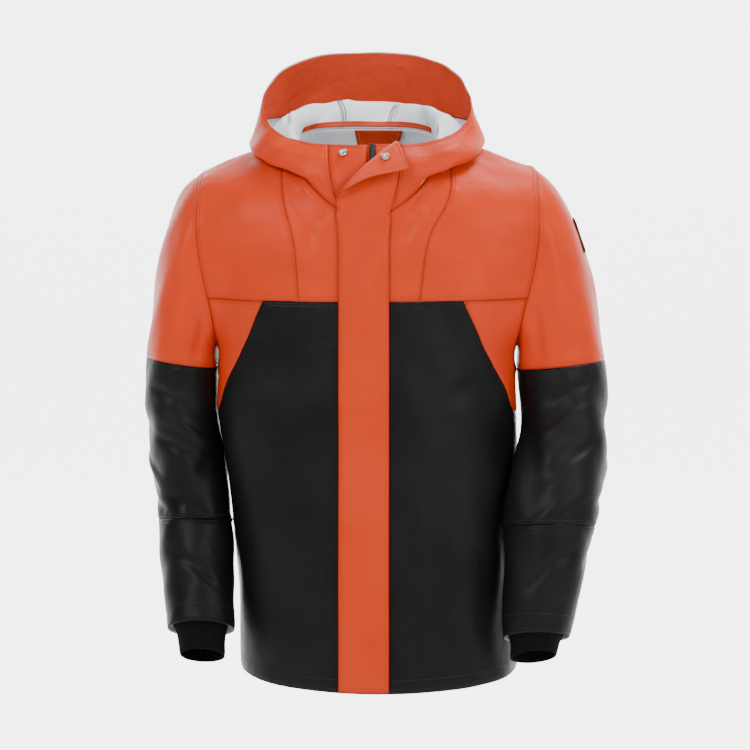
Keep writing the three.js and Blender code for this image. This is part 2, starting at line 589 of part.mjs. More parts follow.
const HOOD_AT = [0, 0.05, 0.085, 0.12, 0.19, 0.26, 0.33, 0.4, 0.47, 0.54, 0.64, 0.74, 0.81, 0.88, 0.94, 1];
const FACING_FROM = 0.73; // the row of the hood at which its facing ends
function addHood() {
  const { band, side, nape, centre: middle } = NECK_CELLS;
  const left = [...steps(HOOD_EDGE.left, 90, side), ...steps(90, HOOD_CENTRE, nape).slice(1)];
  const back = steps(HOOD_CENTRE, 360 - HOOD_CENTRE, middle);
  const beside = steps(270, 360 + HOOD_EDGE.right, side).slice(1);
  const right = [...steps(360 - HOOD_CENTRE, 270, nape), ...beside];
  const pieces = {
    hood_side_left: left,
    hood_centre: back,
    hood_side_right: right,
    collar_band_right: steps(HOOD_EDGE.right, CENTRE_TURN, band),
    collar_band_left: steps(CENTRE_TURN, HOOD_EDGE.left, band),
  };
  const options = { sewn: ["low", "start", "end"], gap: NECK_GAP };
  for (const [name, turns] of Object.entries(pieces)) {
    const mirrored = turns[0] > 180;
    add(name, panel(hoodPoint, HOOD_AT, turns.map(fixed), { ...options, mirrored }), orange);
  }
  const all = [...left, ...back.slice(1), ...right.slice(1)];
  const inside = { lift: -CLOTH - LAY_GAP, cloth: TRIM_CLOTH };
  const facing = HOOD_AT.filter((at) => at >= FACING_FROM);
  add("hood_facing", panel(hoodPoint, facing, all.map(fixed), inside), orange);
  const behind = all.filter((turn) => turn > BINDING.from && turn < 360 - BINDING.from);
  const roll = { ...inside, cloth: BINDING.cloth };
  add("neck_binding", panel(hoodPoint, BINDING.rows, behind.map(fixed), roll), orange);
}

// A place on the outside of the fronts and collar: x across, up above the neck seam at the centre, lift
// off the cloth.
function frontSkin(x, up, lift) {
  if (up >= 0) {
    const at = up / COLLAR_RISE;
    const turn = THREE.MathUtils.radToDeg(Math.asin(x / lerp(NECK_HALF, HOOD_RINGS[1].half, at)));
    return hoodPoint(turn, at).addScaledVector(outward(hoodPoint, turn, at), lift);
  }
  const height = up > -CENTRE_RISE ? 2 + up / CENTRE_RISE : 1 + (up + CENTRE_RISE) / BODY_RISE;
  const across = acrossAt(x, height > 1 ? CHEST_Z : torsoPoint(0, height, -1).z);
  const level = outward(front, across, Math.min(height, NEAR_RIDGE)).setZ(0).normalize();
  return front(across, height).addScaledVector(level, lift);
}

// A strip of cloth over the fronts, from rows of points: each row runs from the wearer's right to the left.
function strip(rows, cloth) {
  const grid = (a, b) => {
    const row = rows[THREE.MathUtils.clamp(Math.round(b), 0, rows.length - 1)];
    return row[THREE.MathUtils.clamp(Math.round(a), 0, row.length - 1)].clone();
  };
  const normals = rows.map((row, i) => row.map((_, j) => outward(grid, j, i, 1)));
  const inner = rows.map((row, i) =>
    row.map((point, j) => point.clone().addScaledVector(normals[i][j], -cloth)),
  );
  return wall(rows, inner);
}

const FLAP_CELLS = 12;
const FLAP_ROWS = { body: 16, top: 13 };
const flapTurn = columns(FLAP_TURN, "at", ["turnX", "turnUp", "edgeX", "edgeUp", "turned", "lift"]);
const FLAP_START = FLAP_TURN[0].turnUp;
const sewnX = (up) => lerp(FLAP.sewn, FLAP.sewnAtRim, clamp(up / COLLAR_RISE));

// A row of the flap where its top is turned back: flat from the sewn edge to the turn, then rolled over.
function turnedRow(at) {
  const turned = flapTurn.turned(at);
  const turn = { x: flapTurn.turnX(at), up: flapTurn.turnUp(at) };
  const edge = { x: flapTurn.edgeX(at), up: flapTurn.edgeUp(at) };
  const sewnUp = lerp(FLAP_START, COLLAR_RISE, at);
  return steps(0, 1, FLAP_CELLS).map((k) => {
    if (k >= turned) {
      const t = turned < 1 ? (1 - k) / (1 - turned) : 0;
      return frontSkin(lerp(sewnX(sewnUp), turn.x, t), lerp(sewnUp, turn.up, t), FLAP_LIFT);
    }
    const t = 1 - k / turned;
    const roll = FLAP.roll * Math.sin(Math.PI * Math.min(1, t / 0.5)) * clamp(turned * 4);
    const away = Math.hypot(edge.x - turn.x, edge.up - turn.up) || 1;
    const x = lerp(turn.x, edge.x, t) - (roll * (edge.x - turn.x)) / away;
    const up = lerp(turn.up, edge.up, t) - (roll * (edge.up - turn.up)) / away;
    return frontSkin(x, up, FLAP_LIFT + flapTurn.lift(at) * smooth(t / 0.45));
  });
}

function addFlap() {
  const low = steps(-CENTRE_RISE - BODY_RISE * FLAP.reach, -CENTRE_RISE, FLAP_ROWS.body);
  const rows = [...low, -CENTRE_RISE / 2, 0].map((up) =>
    steps(FLAP.free, FLAP.sewn, FLAP_CELLS).map((x) => frontSkin(x, up, FLAP_LIFT)),
  );
  rows.push(...steps(0, 1, FLAP_ROWS.top).map(turnedRow));
  add("storm_flap", strip(rows, FLAP_CLOTH), orange);
  const zipUps = [...low, -CENTRE_RISE / 2, 0, ...steps(FLAP_START, COLLAR_RISE - ZIP.below, 6)];
  const zipRows = zipUps.map((up) => {
    const lean = ZIP.lean * clamp(up / COLLAR_RISE);
    return steps(ZIP.from, ZIP.to, 2).map((x) => frontSkin(x + lean, up, LAY_GAP + ZIP.high));
  });
  add("zip", strip(zipRows, ZIP.high), teeth);
}

// A press stud's half: a low domed button with a hollow, its flat back towards the cloth.
function addSnap(name, point, normal) {
  const { half, high } = SNAP;
  const profile = [
    [0, 0],
    [half, 0],
    [half, high * 0.5],
    [half * 0.8, high],
    [half * 0.5, high],
    [half * 0.42, high * 0.6],
    [0, high * 0.6],
  ].map(([r, y]) => new THREE.Vector2(r, y));
  const mesh = add(name, new THREE.LatheGeometry(profile, 20), steel);
  mesh.quaternion.setFromUnitVectors(vec(0, 1, 0), normal);
  mesh.position.copy(point);
}

function addSnaps() {
  const place = frontSkin(SNAP.stud.x, SNAP.stud.up, LAY_GAP);
  const normal = frontSkin(SNAP.stud.x, SNAP.stud.up, 10).sub(place).normalize();
  addSnap("snap_stud", place, normal);
  const [at, cell] = [SNAP.socket.at, SNAP.socket.cell];
  const row = turnedRow(at);
  const next = turnedRow(at + 1 / FLAP_ROWS.top);
  const along = row[cell + 1].clone().sub(row[cell - 1]);
  const facing = along.cross(next[cell].clone().sub(row[cell])).normalize();
  if (facing.y > 0) facing.negate();
  addSnap("snap_socket", row[cell].clone().addScaledVector(facing, FLAP_CLOTH + SNAP_GAP), facing);
}

// A plain tab lies on the outer side of the left sleeve, on its facets.
function addTab() {
  const surface = (a, b) => sleeves.left(a, -b);
  const rows = TAB.rows.map((at) => -at).reverse();
  const places = sleevePlaces.slice(TAB.first, TAB.last + 1).map(fixed);
  add("sleeve_tab", panel(surface, rows, places, { lift: LAY_GAP + TRIM_CLOTH, cloth: TRIM_CLOTH }), teeth);
}

addFront("right", -1);
addFront("left", 1);
addBack();
addSleeve("right", -1);
addSleeve("left", 1);
addHood();
addFlap();
addSnaps();
addTab();

export default coat;
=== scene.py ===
"""A hooded raincoat in orange and black coated cloth, filled out as on a wearer, with its hood down.

Each cloth piece starts from the form of its CAD node, is refined, and gets the folds that it has when worn.
The folds are drawn from one side of the coat, in millimetres. Seams, stitches, zip teeth and studs
are added on the creased cloth. The coat faces -Y, +Z is up, and its left is the wearer's left, at +X.
"""

import logging
import math
from collections.abc import Iterable, Sequence
from dataclasses import dataclass, field
from enum import Enum

import bmesh
import bpy
import numpy as np
from mathutils import Matrix, Vector
from mathutils.bvhtree import BVHTree
from mathutils.kdtree import KDTree

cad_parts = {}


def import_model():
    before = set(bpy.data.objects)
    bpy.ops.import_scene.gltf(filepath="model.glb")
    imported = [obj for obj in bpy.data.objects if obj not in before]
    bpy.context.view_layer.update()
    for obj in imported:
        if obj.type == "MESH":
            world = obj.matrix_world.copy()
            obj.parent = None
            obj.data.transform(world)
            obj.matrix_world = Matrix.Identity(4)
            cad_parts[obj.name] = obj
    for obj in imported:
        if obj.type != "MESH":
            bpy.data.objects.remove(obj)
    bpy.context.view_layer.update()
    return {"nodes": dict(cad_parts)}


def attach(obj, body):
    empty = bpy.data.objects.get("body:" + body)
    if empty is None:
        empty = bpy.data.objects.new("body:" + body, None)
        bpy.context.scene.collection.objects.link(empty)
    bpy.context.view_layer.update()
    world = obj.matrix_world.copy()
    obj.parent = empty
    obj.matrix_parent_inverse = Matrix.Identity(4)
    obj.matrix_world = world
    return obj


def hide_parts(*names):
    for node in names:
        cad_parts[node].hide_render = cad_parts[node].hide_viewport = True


log = logging.getLogger("raincoat")

MM = 0.001
SEAM_HOLD = 14.0  # folds run out this far from a seam between two parts of the coat, in millimetres
SEAM_NEAR = 6.0  # edges closer than this are sewn to each other
RIM_ANGLE = math.radians(50)  # the rims of a wall meet its faces at more than this
CORNER_ANGLE = math.radians(52)  # an edge that turns by more than this has a corner
GATHER_AT, GATHER_WIDE = 7.0, 9.0  # where cloth gathers along its edges, in millimetres
TURNED_IN, TURN_WIDE = 0.7, 2.5  # how far edges are turned in, and over which width


# Shaders


class Value:
    """A socket of a node, on which shader maths can be written as Python expressions."""

    def __init__(self, nodes: "Nodes", socket: bpy.types.NodeSocket) -> None:
        """Wraps a socket.

        Args:
            nodes: the nodes that new maths is added to.
            socket: the output that is wrapped.
        """
        self.nodes = nodes
        self.socket = socket

    def _math(self, operation: str, first: "Value | float", second: "Value | float") -> "Value":
        """Adds one Math node.

        Args:
            operation: the Math node's operation.
            first: the left operand.
            second: the right operand.

        Returns:
            The node's result.
        """
        return self.nodes.add("ShaderNodeMath", {"operation": operation}, {0: first, 1: second})

    def __add__(self, other: "Value | float") -> "Value":
        """Returns self + other."""
        return self._math("ADD", self, other)

    def __radd__(self, other: float) -> "Value":
        """Returns other + self."""
        return self._math("ADD", other, self)

    def __sub__(self, other: "Value | float") -> "Value":
        """Returns self - other."""
        return self._math("SUBTRACT", self, other)

    def __rsub__(self, other: float) -> "Value":
        """Returns other - self."""
        return self._math("SUBTRACT", other, self)

    def __mul__(self, other: "Value | float") -> "Value":
        """Returns self * other."""
        return self._math("MULTIPLY", self, other)

    def __rmul__(self, other: float) -> "Value":
        """Returns other * self."""
        return self._math("MULTIPLY", other, self)

    def __truediv__(self, other: "Value | float") -> "Value":
        """Returns self / other."""
        return self._math("DIVIDE", self, other)

    def __pow__(self, other: float) -> "Value":
        """Returns self to a power."""
        return self._math("POWER", self, other)

    def apply(self, operation: str, other: "Value | float" = 0.0) -> "Value":
        """Returns the result of a named Math operation, such as SINE or MAXIMUM."""
        return self._math(operation, self, other)


Colour = tuple[float, float, float]


def linear(red: int, green: int, blue: int) -> Colour:
    """Turns a screen colour into the linear one that a shader takes.

    Args:
        red: from 0 to 255.
        green: from 0 to 255.
        blue: from 0 to 255.

    Returns:
        The linear colour.
    """
    parts = (channel / 255 for channel in (red, green, blue))
    return tuple(c / 12.92 if c <= 0.04045 else ((c + 0.055) / 1.055) ** 2.4 for c in parts)


def shade(colour: Colour, by: float, more: float = 0.0) -> Colour:
    """Returns a colour made darker or lighter by a factor, with a little more light added to it."""
    return tuple(min(1.0, channel * by + more) for channel in colour)


class Nodes:
    """The nodes of one material."""

    def __init__(self, name: str) -> None:
        """Starts a material with no nodes but its output.

        Args:
            name: the material's name.
        """
        self.material = bpy.data.materials.new(name)
        self.material.use_nodes = True
        self.tree = self.material.node_tree
        self.tree.nodes.clear()
        self.output = self.tree.nodes.new("ShaderNodeOutputMaterial")

    def add(
        self,
        kind: str,
        settings: dict[str, object] | None = None,
        sockets: dict[str | int, object] | None = None,
        out: str | int = 0,
    ) -> Value:
        """Adds any node.

        Args:
            kind: the node's type.
            settings: its settings, which are set first.
            sockets: values, colours or links of its inputs, by name or number.
            out: the output that is returned.

        Returns:
            The output, ready for maths.
        """
        node = self.tree.nodes.new(kind)
        for name, value in (settings or {}).items():
            setattr(node, name, value)
        for name, value in (sockets or {}).items():
            if isinstance(value, Value):
                self.tree.links.new(value.socket, node.inputs[name])
            elif isinstance(value, tuple) and len(value) == 3 and node.inputs[name].type == "RGBA":
                node.inputs[name].default_value = (*value, 1.0)
            else:
                node.inputs[name].default_value = value
        return Value(self, node.outputs[out])

    def blend(self, factor: Value | float, first: Value | Colour, second: Value | Colour) -> Value:
        """Blends two colours.

        Args:
            factor: 0 gives the first colour and 1 the second.
            first: a colour or a link.
            second: a colour or a link.

        Returns:
            The blended colour.
        """
        settings = {"data_type": "RGBA", "blend_type": "MIX"}
        return self.add("ShaderNodeMix", settings, {0: factor, 6: first, 7: second}, out=2)

    def noise(self, scale: float, detail: float = 2.0, warp: float = 0.0) -> Value:
        """Returns noise in the object's own space, with scale in cycles a metre."""
        sockets = {"Vector": self.place(), "Scale": scale, "Detail": detail, "Distortion": warp}
        return self.add("ShaderNodeTexNoise", {"noise_dimensions": "3D"}, sockets)

    def place(self) -> Value:
        """Returns the place on the object, in metres."""
        return self.add("ShaderNodeTexCoord", out="Object")

    def measured(self, name: str) -> Value:
        """Returns a number that the mesh carries at each point."""
        return self.add("ShaderNodeAttribute", {"attribute_name": name}, out="Fac")

    def bump(self, height: Value, depth: float, under: Value | None = None) -> Value:
        """Returns a normal bumped by a height, whose full range is depth in metres."""
        sockets = {"Strength": 1.0, "Distance": depth, "Height": height}
        if under is not None:
            sockets["Normal"] = under
        return self.add("ShaderNodeBump", None, sockets)

    def surface(self, sockets: dict[str | int, object]) -> bpy.types.Material:
        """Ends the material with its main shader.

        Args:
            sockets: the shader's values and links.

        Returns:
            The finished material.
        """
        shader = self.add("ShaderNodeBsdfPrincipled", None, sockets)
        self.tree.links.new(shader.socket, self.output.inputs["Surface"])
        return self.material


@dataclass(frozen=True)
class CoatedCloth:
    """Rubbery coated cloth: satin, with a fine pebbled grain, soft shallow crinkles and painted edge shade."""

    name: str
    colour: Colour
    roughness: float
    spread: float = 0.07  # how much lighter and darker it gets over a hand's width
    shine: float = 0.09  # the strength of its reflections
    crinkle: float = 0.0011  # the depth of its shallow crinkles, in metres

    def build(self) -> bpy.types.Material:
        """Makes the material."""
        nodes = Nodes(self.name)
        patches = nodes.noise(9.0, 3.0, 0.4)
        speckle = nodes.noise(420.0, 2.0)
        light = shade(self.colour, 1 + 2.2 * self.spread, 0.004)
        dark = shade(self.colour, 1 - 1.6 * self.spread)
        tone = (patches - 0.5) * 1.5 + (speckle - 0.5) * 0.25 + 0.5
        colour = nodes.blend(tone.apply("MINIMUM", 1.0).apply("MAXIMUM", 0.0), dark, light)
        edge = nodes.measured("edge")
        # Painted shade: the colour darkens towards every edge of the piece, along its seams, hems and rims.
        painted_edge_shade = (edge * (-1 / 2.2)).apply("EXPONENT")
        colour = nodes.blend(painted_edge_shade * 0.5, colour, shade(self.colour, 0.45))
        grain = nodes.noise(1500.0, 3.0)
        crinkle = nodes.noise(34.0, 2.5, 0.35)
        welt = (((edge - 5.0) / 1.1) ** 2.0 * -1.0).apply("EXPONENT")
        low = nodes.bump(crinkle, self.crinkle)
        seam = nodes.bump(1 - welt, 0.00045, low)
        fine = nodes.bump(grain, 0.00006, seam)
        rough = (patches - 0.5) * 0.16 + (speckle - 0.5) * 0.1 + self.roughness
        return nodes.surface(
            {
                "Base Color": colour,
                "Roughness": rough,
                "Normal": fine,
                "Specular IOR Level": self.shine,
            }
        )


@dataclass(frozen=True)
class KnitBacking:
    """The pale knit on the inside of the coated cloth, in fine rows of loops."""

    name: str = "knit_backing"
    colour: Colour = linear(221, 227, 231)
    loops: float = 900.0  # rows a metre

    def build(self) -> bpy.types.Material:
        """Makes the material."""
        nodes = Nodes(self.name)
        settings = {"wave_type": "BANDS", "bands_direction": "DIAGONAL"}
        sockets = {"Vector": nodes.place(), "Scale": self.loops / 6.2, "Distortion": 2.0, "Detail": 1.0}
        rows = nodes.add("ShaderNodeTexWave", settings, sockets, out="Fac")
        fuzz = nodes.noise(700.0, 2.0)
        patches = nodes.noise(14.0, 2.0)
        tone = rows * 0.25 + fuzz * 0.3 + patches * 0.45
        colour = nodes.blend(tone, shade(self.colour, 0.82), shade(self.colour, 1.1))
        low = nodes.bump(nodes.noise(45.0, 2.0, 1.0), 0.0008)
        normal = nodes.bump(rows * 0.5 + fuzz * 0.5, 0.0002, low)
        sheen = {"Sheen Weight": 0.2, "Sheen Roughness": 0.6}
        return nodes.surface({"Base Color": colour, "Roughness": 0.9, "Normal": normal, **sheen})


@dataclass(frozen=True)
class RibKnit:
    """Elastic black knit with ribs that run along the arm."""

    name: str = "rib_knit"
    colour: Colour = (0.0035, 0.0035, 0.004)
    ribs: int = 84

    def build(self) -> bpy.types.Material:
        """Makes the material."""
        nodes = Nodes(self.name)
        turn = nodes.measured("turn")
        wave = (turn * (2 * math.pi * self.ribs)).apply("SINE") * 0.5 + 0.5
        fuzz = nodes.noise(1100.0, 2.0)
        # The colour is partly random fuzz and partly follows the ribs: lighter on their crests, a painted
        # highlight, and darker between them, a painted shade.
        colour = nodes.blend(wave * 0.7 + fuzz * 0.3, shade(self.colour, 0.5), shade(self.colour, 2.2))
        normal = nodes.bump(wave * 0.8 + fuzz * 0.2, 0.0011)
        return nodes.surface(
            {"Base Color": colour, "Roughness": 0.95, "Normal": normal, "Specular IOR Level": 0.06}
        )


@dataclass(frozen=True)
class Smooth:
    """A plain hard or spun finish with a little mottling: thread, plated metal or moulded plastic."""

    name: str
    colour: Colour
    roughness: float
    metallic: float = 0.0
    grain: float = 900.0
    depth: float = 0.00003

    def build(self) -> bpy.types.Material:
        """Makes the material."""
        nodes = Nodes(self.name)
        grain = nodes.noise(self.grain, 2.0)
        colour = nodes.blend(grain, shade(self.colour, 0.85), shade(self.colour, 1.12))
        return nodes.surface(
            {
                "Base Color": colour,
                "Roughness": (grain - 0.5) * 0.15 + self.roughness,
                "Metallic": self.metallic,
                "Normal": nodes.bump(grain, self.depth),
            }
        )


@dataclass(frozen=True)
class PaleFloor:
    """A pale floor that glows softly behind the coat."""

    name: str = "pale_floor"
    glow: float = 3.6  # the strength of its light
    behind: tuple[float, float] = (0.8, 2.0)  # where the glow starts and is full, in metres

    def build(self) -> bpy.types.Material:
        """Makes the material."""
        nodes = Nodes(self.name)
        depth = nodes.add("ShaderNodeSeparateXYZ", None, {"Vector": nodes.place()}, out="Y")
        start, full = self.behind
        share = ((depth - start) / (full - start)).apply("MAXIMUM", 0.0).apply("MINIMUM", 1.0)
        glow = nodes.blend(share, (0.1, 0.1, 0.1), (1.0, 1.0, 1.0))
        sockets = {"Base Color": (0.82, 0.82, 0.82), "Roughness": 0.9, "Emission Color": glow}
        return nodes.surface({**sockets, "Emission Strength": self.glow})


ORANGE = linear(190, 52, 16)
FACING = linear(196, 60, 26)
BLACK = (0.0033, 0.0033, 0.0036)


@dataclass(frozen=True)
class Finishes:
    """All the materials of the coat."""

    orange: bpy.types.Material
    deep_orange: bpy.types.Material
    black: bpy.types.Material
    backing: bpy.types.Material
    rib: bpy.types.Material
    orange_thread: bpy.types.Material
    black_thread: bpy.types.Material
    grey_thread: bpy.types.Material
    yellow_thread: bpy.types.Material
    tape: bpy.types.Material
    steel: bpy.types.Material
    brass: bpy.types.Material
    plastic: bpy.types.Material

    @staticmethod
    def build() -> "Finishes":
        """Makes every material."""
        return Finishes(
            orange=CoatedCloth("orange_coated", ORANGE, 0.4).build(),
            deep_orange=CoatedCloth("orange_facing", FACING, 0.5, shine=0.2, crinkle=0.0035).build(),
            black=CoatedCloth("black_coated", BLACK, 0.46, 0.12, shine=0.11).build(),
            backing=KnitBacking().build(),
            rib=RibKnit().build(),
            orange_thread=Smooth("orange_thread", linear(186, 70, 38), 0.7).build(),
            black_thread=Smooth("black_thread", (0.02, 0.02, 0.021), 0.7).build(),
            grey_thread=Smooth("grey_thread", (0.035, 0.037, 0.04), 0.8).build(),
            yellow_thread=Smooth("yellow_thread", linear(226, 170, 60), 0.7).build(),
            tape=Smooth("zip_tape", (0.012, 0.012, 0.013), 0.9, grain=1600.0, depth=0.0002).build(),
            steel=Smooth("plated_steel", (0.62, 0.6, 0.56), 0.24, 1.0).build(),
            brass=Smooth("plated_brass", (0.72, 0.5, 0.2), 0.25, 1.0).build(),
            plastic=Smooth("moulded_plastic", (0.014, 0.014, 0.016), 0.35).build(),
        )


# Folds


class Side(Enum):
    """A side of the coat that folds are drawn from: the drawing's two axes, and the way out of it."""

    FRONT = ((0, 2), (0.0, -1.0, 0.0))
    BACK = ((0, 2), (0.0, 1.0, 0.0))
    RIGHT = ((1, 2), (-1.0, 0.0, 0.0))
    LEFT = ((1, 2), (1.0, 0.0, 0.0))
    TOP = ((0, 1), (0.0, 0.0, 1.0))

    @property
    def axes(self) -> list[int]:
        """The two axes of the drawing."""
        return list(self.value[0])

    @property
    def way(self) -> np.ndarray:
        """The way out of the drawing."""
        return np.array(self.value[1])


def ease(values: np.ndarray) -> np.ndarray:
    """Returns a smooth step from 0 to 1 over the same range."""
    t = np.clip(values, 0.0, 1.0)
    return t * t * (3 - 2 * t)


@dataclass(frozen=True)
class Fold:
    """A soft trough or ridge along a line drawn from one side, in millimetres."""

    side: Side
    line: tuple[tuple[float, float], ...]
    wide: float
    high: float  # below 0 for a trough
    fade: float = 0.3  # the share of its length over which each end runs out
    lip: float = 0.5  # how far the cloth beside it rises the other way
    depth: tuple[float, float] = (-1e4, 1e4)  # where it works along the way of looking

    def rise(self, points: np.ndarray, out: np.ndarray) -> np.ndarray:
        """Works out how far the fold moves each point of the cloth.

        Args:
            points: places in millimetres.
            out: the outward direction at each.

        Returns:
            The distance outwards in millimetres.
        """
        flat = points[:, self.side.axes]
        line = np.array(self.line)
        lengths = np.linalg.norm(np.diff(line, axis=0), axis=1)
        starts = np.concatenate([[0.0], np.cumsum(lengths)])
        near = np.full(len(flat), 1e9)
        along = np.zeros(len(flat))
        for i, length in enumerate(lengths):
            step = (line[i + 1] - line[i]) / length
            raw = (flat - line[i]) @ step
            at = np.clip(raw, 0.0, length)
            gap = np.linalg.norm(flat - line[i] - at[:, None] * step, axis=1)
            closer = gap < near
            near[closer] = gap[closer]
            along[closer] = (starts[i] + raw)[closer]
        share = along / starts[-1]
        ends = ease(share / self.fade) * ease((1 - share) / self.fade)
        wide = self.wide * (0.8 + 0.35 * np.sin(3.1 * share + self.wide))  # uneven along its length
        away = (near / wide) ** 2
        profile = (1 - self.lip * away) * np.exp(-away)
        faces = ease((out @ self.side.way) / 0.4)
        deep = points @ np.abs(self.side.way)
        reached = ease((deep - self.depth[0]) / 6) * ease((self.depth[1] - deep) / 6)
        return self.high * profile * ends * faces * reached


@dataclass(frozen=True)
class Swell:
    """A slow uneven swelling of the cloth, made of a few waves that cross each other."""

    waves: tuple[tuple[float, float, float, float], ...]  # high, and its lengths along x, y and z

    def rise(self, points: np.ndarray, out: np.ndarray) -> np.ndarray:
        """Returns how far outwards each point moves, in millimetres."""
        total = np.zeros(len(points))
        for i, (high, *lengths) in enumerate(self.waves):
            turns = [2 * math.pi * points[:, k] / length for k, length in enumerate(lengths) if length]
            total += high * np.sin(sum(turns) + 1.7 * i)
        return total


Relief = Fold | Swell


# Cloth


def point_tree(points: np.ndarray, chosen: np.ndarray | None = None) -> KDTree:
    """Returns a search tree over points, or over the chosen ones by their numbers."""
    chosen = np.arange(len(points)) if chosen is None else chosen
    tree = KDTree(len(chosen))
    for i in chosen:
        tree.insert(points[i], int(i))
    tree.balance()
    return tree


class Shell:
    """The refined wall of one CAD cloth node, with its outside, its inside and its rims told apart."""

    OUTSIDE, INSIDE, RIM = range(3)

    def __init__(self, node: bpy.types.Object, name: str, cut: "Cut") -> None:
        """Refines a copy of a node.

        Args:
            node: the CAD node.
            name: the new piece's name.
            cut: the piece of cloth that it is.
        """
        self.cut = cut
        coarse = self._quads(node, Vector(cut.outside), cut.cloth * MM)
        piece = bpy.data.objects.new(name, coarse)
        bpy.context.scene.collection.objects.link(piece)
        refine = piece.modifiers.new("refine", "SUBSURF")
        refine.levels = refine.render_levels = cut.levels
        refine.boundary_smooth = "PRESERVE_CORNERS"
        evaluated = piece.evaluated_get(bpy.context.evaluated_depsgraph_get())
        mesh = bpy.data.meshes.new_from_object(evaluated)
        piece.modifiers.clear()
        piece.data = mesh
        bpy.data.meshes.remove(coarse)
        mesh.name = name
        self.piece = piece
        self.mesh = mesh
        self._read()

    @staticmethod
    def _quads(node: bpy.types.Object, outside: Vector, cloth: float) -> bpy.types.Mesh:
        """Copies a node's mesh as quads, with hard rims and its sides marked by material number."""
        shape = bmesh.new()
        shape.from_mesh(node.data)
        bmesh.ops.remove_doubles(shape, verts=shape.verts[:], dist=2e-5)
        shape.normal_update()
        diagonals = Shell._diagonals(shape, Shell._rims(shape, cloth))
        bmesh.ops.dissolve_edges(shape, edges=list(diagonals), use_verts=False, use_face_split=False)
        bmesh.ops.join_triangles(
            shape,
            faces=[face for face in shape.faces if len(face.verts) == 3],
            angle_face_threshold=math.radians(60),
            angle_shape_threshold=math.pi,
        )
        shape.normal_update()
        crease = shape.edges.layers.float.new("crease_edge")
        for edge in Shell._rims(shape, cloth):
            edge[crease] = 1.0
        Shell._mark_sides(shape, crease, outside)
        mesh = bpy.data.meshes.new(node.name + "_coarse")
        shape.to_mesh(mesh)
        shape.free()
        for _ in range(3):
            mesh.materials.append(None)
        return mesh

    @staticmethod
    def _mark_sides(shape: bmesh.types.BMesh, crease: bmesh.types.BMLayerItem, outside: Vector) -> None:
        """Numbers each face's material by its side of the wall.

        Args:
            shape: the wall.
            crease: the layer in which its hard edges are marked.
            outside: the way in which its outer side lies furthest.
        """
        regions = []
        seen: set[bmesh.types.BMFace] = set()
        for face in shape.faces:
            if face in seen:
                continue
            group, queue = [], [face]
            seen.add(face)
            while queue:
                here = queue.pop()
                group.append(here)
                soft = [edge for edge in here.edges if edge[crease] == 0]
                for edge in soft:
                    fresh = [other for other in edge.link_faces if other not in seen]
                    seen.update(fresh)
                    queue.extend(fresh)
            regions.append((sum(f.calc_area() for f in group), group))
        regions.sort(key=lambda pair: -pair[0])
        reach = [max(f.calc_center_median().dot(outside) for f in group) for _, group in regions[:2]]
        outer = 0 if len(reach) < 2 or reach[0] >= reach[1] else 1
        for rank, (_, group) in enumerate(regions):
            kind = Shell.RIM if rank > 1 else Shell.OUTSIDE if rank == outer else Shell.INSIDE
            for face in group:
                face.material_index = kind
                face.smooth = True

    @staticmethod
    def _rims(shape: bmesh.types.BMesh, cloth: float) -> set[bmesh.types.BMEdge]:
        """Finds the hard edges of a wall, along its narrow rims.

        Args:
            shape: the wall.
            cloth: its thickness, in metres.

        Returns:
            The edges of the rims, and those across the rims at corners.
        """
        across = {edge for edge in shape.edges if Shell._crosses(edge, cloth)}
        narrow = {face for edge in across for face in edge.link_faces}
        corners = {edge for edge in across if edge.calc_face_angle(0.0) > RIM_ANGLE}
        sides = {edge for edge in shape.edges if sum(face in narrow for face in edge.link_faces) == 1}
        return corners | sides

    @staticmethod
    def _crosses(edge: bmesh.types.BMEdge, cloth: float) -> bool:
        """Tells whether an edge runs across a rim, from one side of the cloth to the other."""
        if abs(edge.calc_length() - cloth) > 0.2 * cloth:
            return False
        way = (edge.verts[1].co - edge.verts[0].co).normalized()
        for vert in edge.verts:
            others = [face for face in vert.link_faces if face not in edge.link_faces]
            around = [face.normal * face.calc_area() for face in others]
            if not around or abs(sum(around, Vector()).normalized().dot(way)) < 0.6:
                return False
        return True

    @staticmethod
    def _diagonals(shape: bmesh.types.BMesh, rims: set[bmesh.types.BMEdge]) -> set[bmesh.types.BMEdge]:
        """Finds the edges that divide the quads of a grid, which run the same way all over a side."""
        found: set[bmesh.types.BMEdge] = set()
        stars = {}
        for vert in shape.verts:
            if len(vert.link_edges) == 6 and not any(edge in rims for edge in vert.link_edges):
                star, loop = [], vert.link_loops[0]
                while not star or loop != vert.link_loops[0]:
                    star.append(loop.edge)
                    loop = loop.link_loop_prev.link_loop_radial_next
                stars[vert] = star
        left = set(stars)
        while left:
            start = min(left, key=lambda vert: vert.index)
            choices = [Shell._spread(stars, start, first) for first in range(3)]
            best = max(choices, key=lambda pair: sum(edge.calc_length() for edge in pair[0]))
            found |= best[0]
            left -= best[1]
        return found

    @staticmethod
    def _spread(
        stars: dict[bmesh.types.BMVert, list[bmesh.types.BMEdge]], start: bmesh.types.BMVert, first: int
    ) -> tuple[set[bmesh.types.BMEdge], set[bmesh.types.BMVert]]:
        """Follows one way of dividing the quads from point to point.

        Args:
            stars: the edges round each inner point, in order.
            start: the first point.
            first: which of its edges divides a quad.

        Returns:
            The dividing edges and the points that were reached.
        """
        edges: set[bmesh.types.BMEdge] = set()
        ways = {start: first}
        queue = [start]
        while queue:
            vert = queue.pop()
            star, way = stars[vert], ways[vert]
            edges.update((star[way], star[(way + 3) % 6]))
            for k, edge in enumerate(star):
                other = edge.other_vert(vert)
                if other in stars and other not in ways:
                    back = stars[other].index(edge)
                    ways[other] = (back + 3 + way - k) % 3
                    queue.append(other)
        return edges, set(ways)

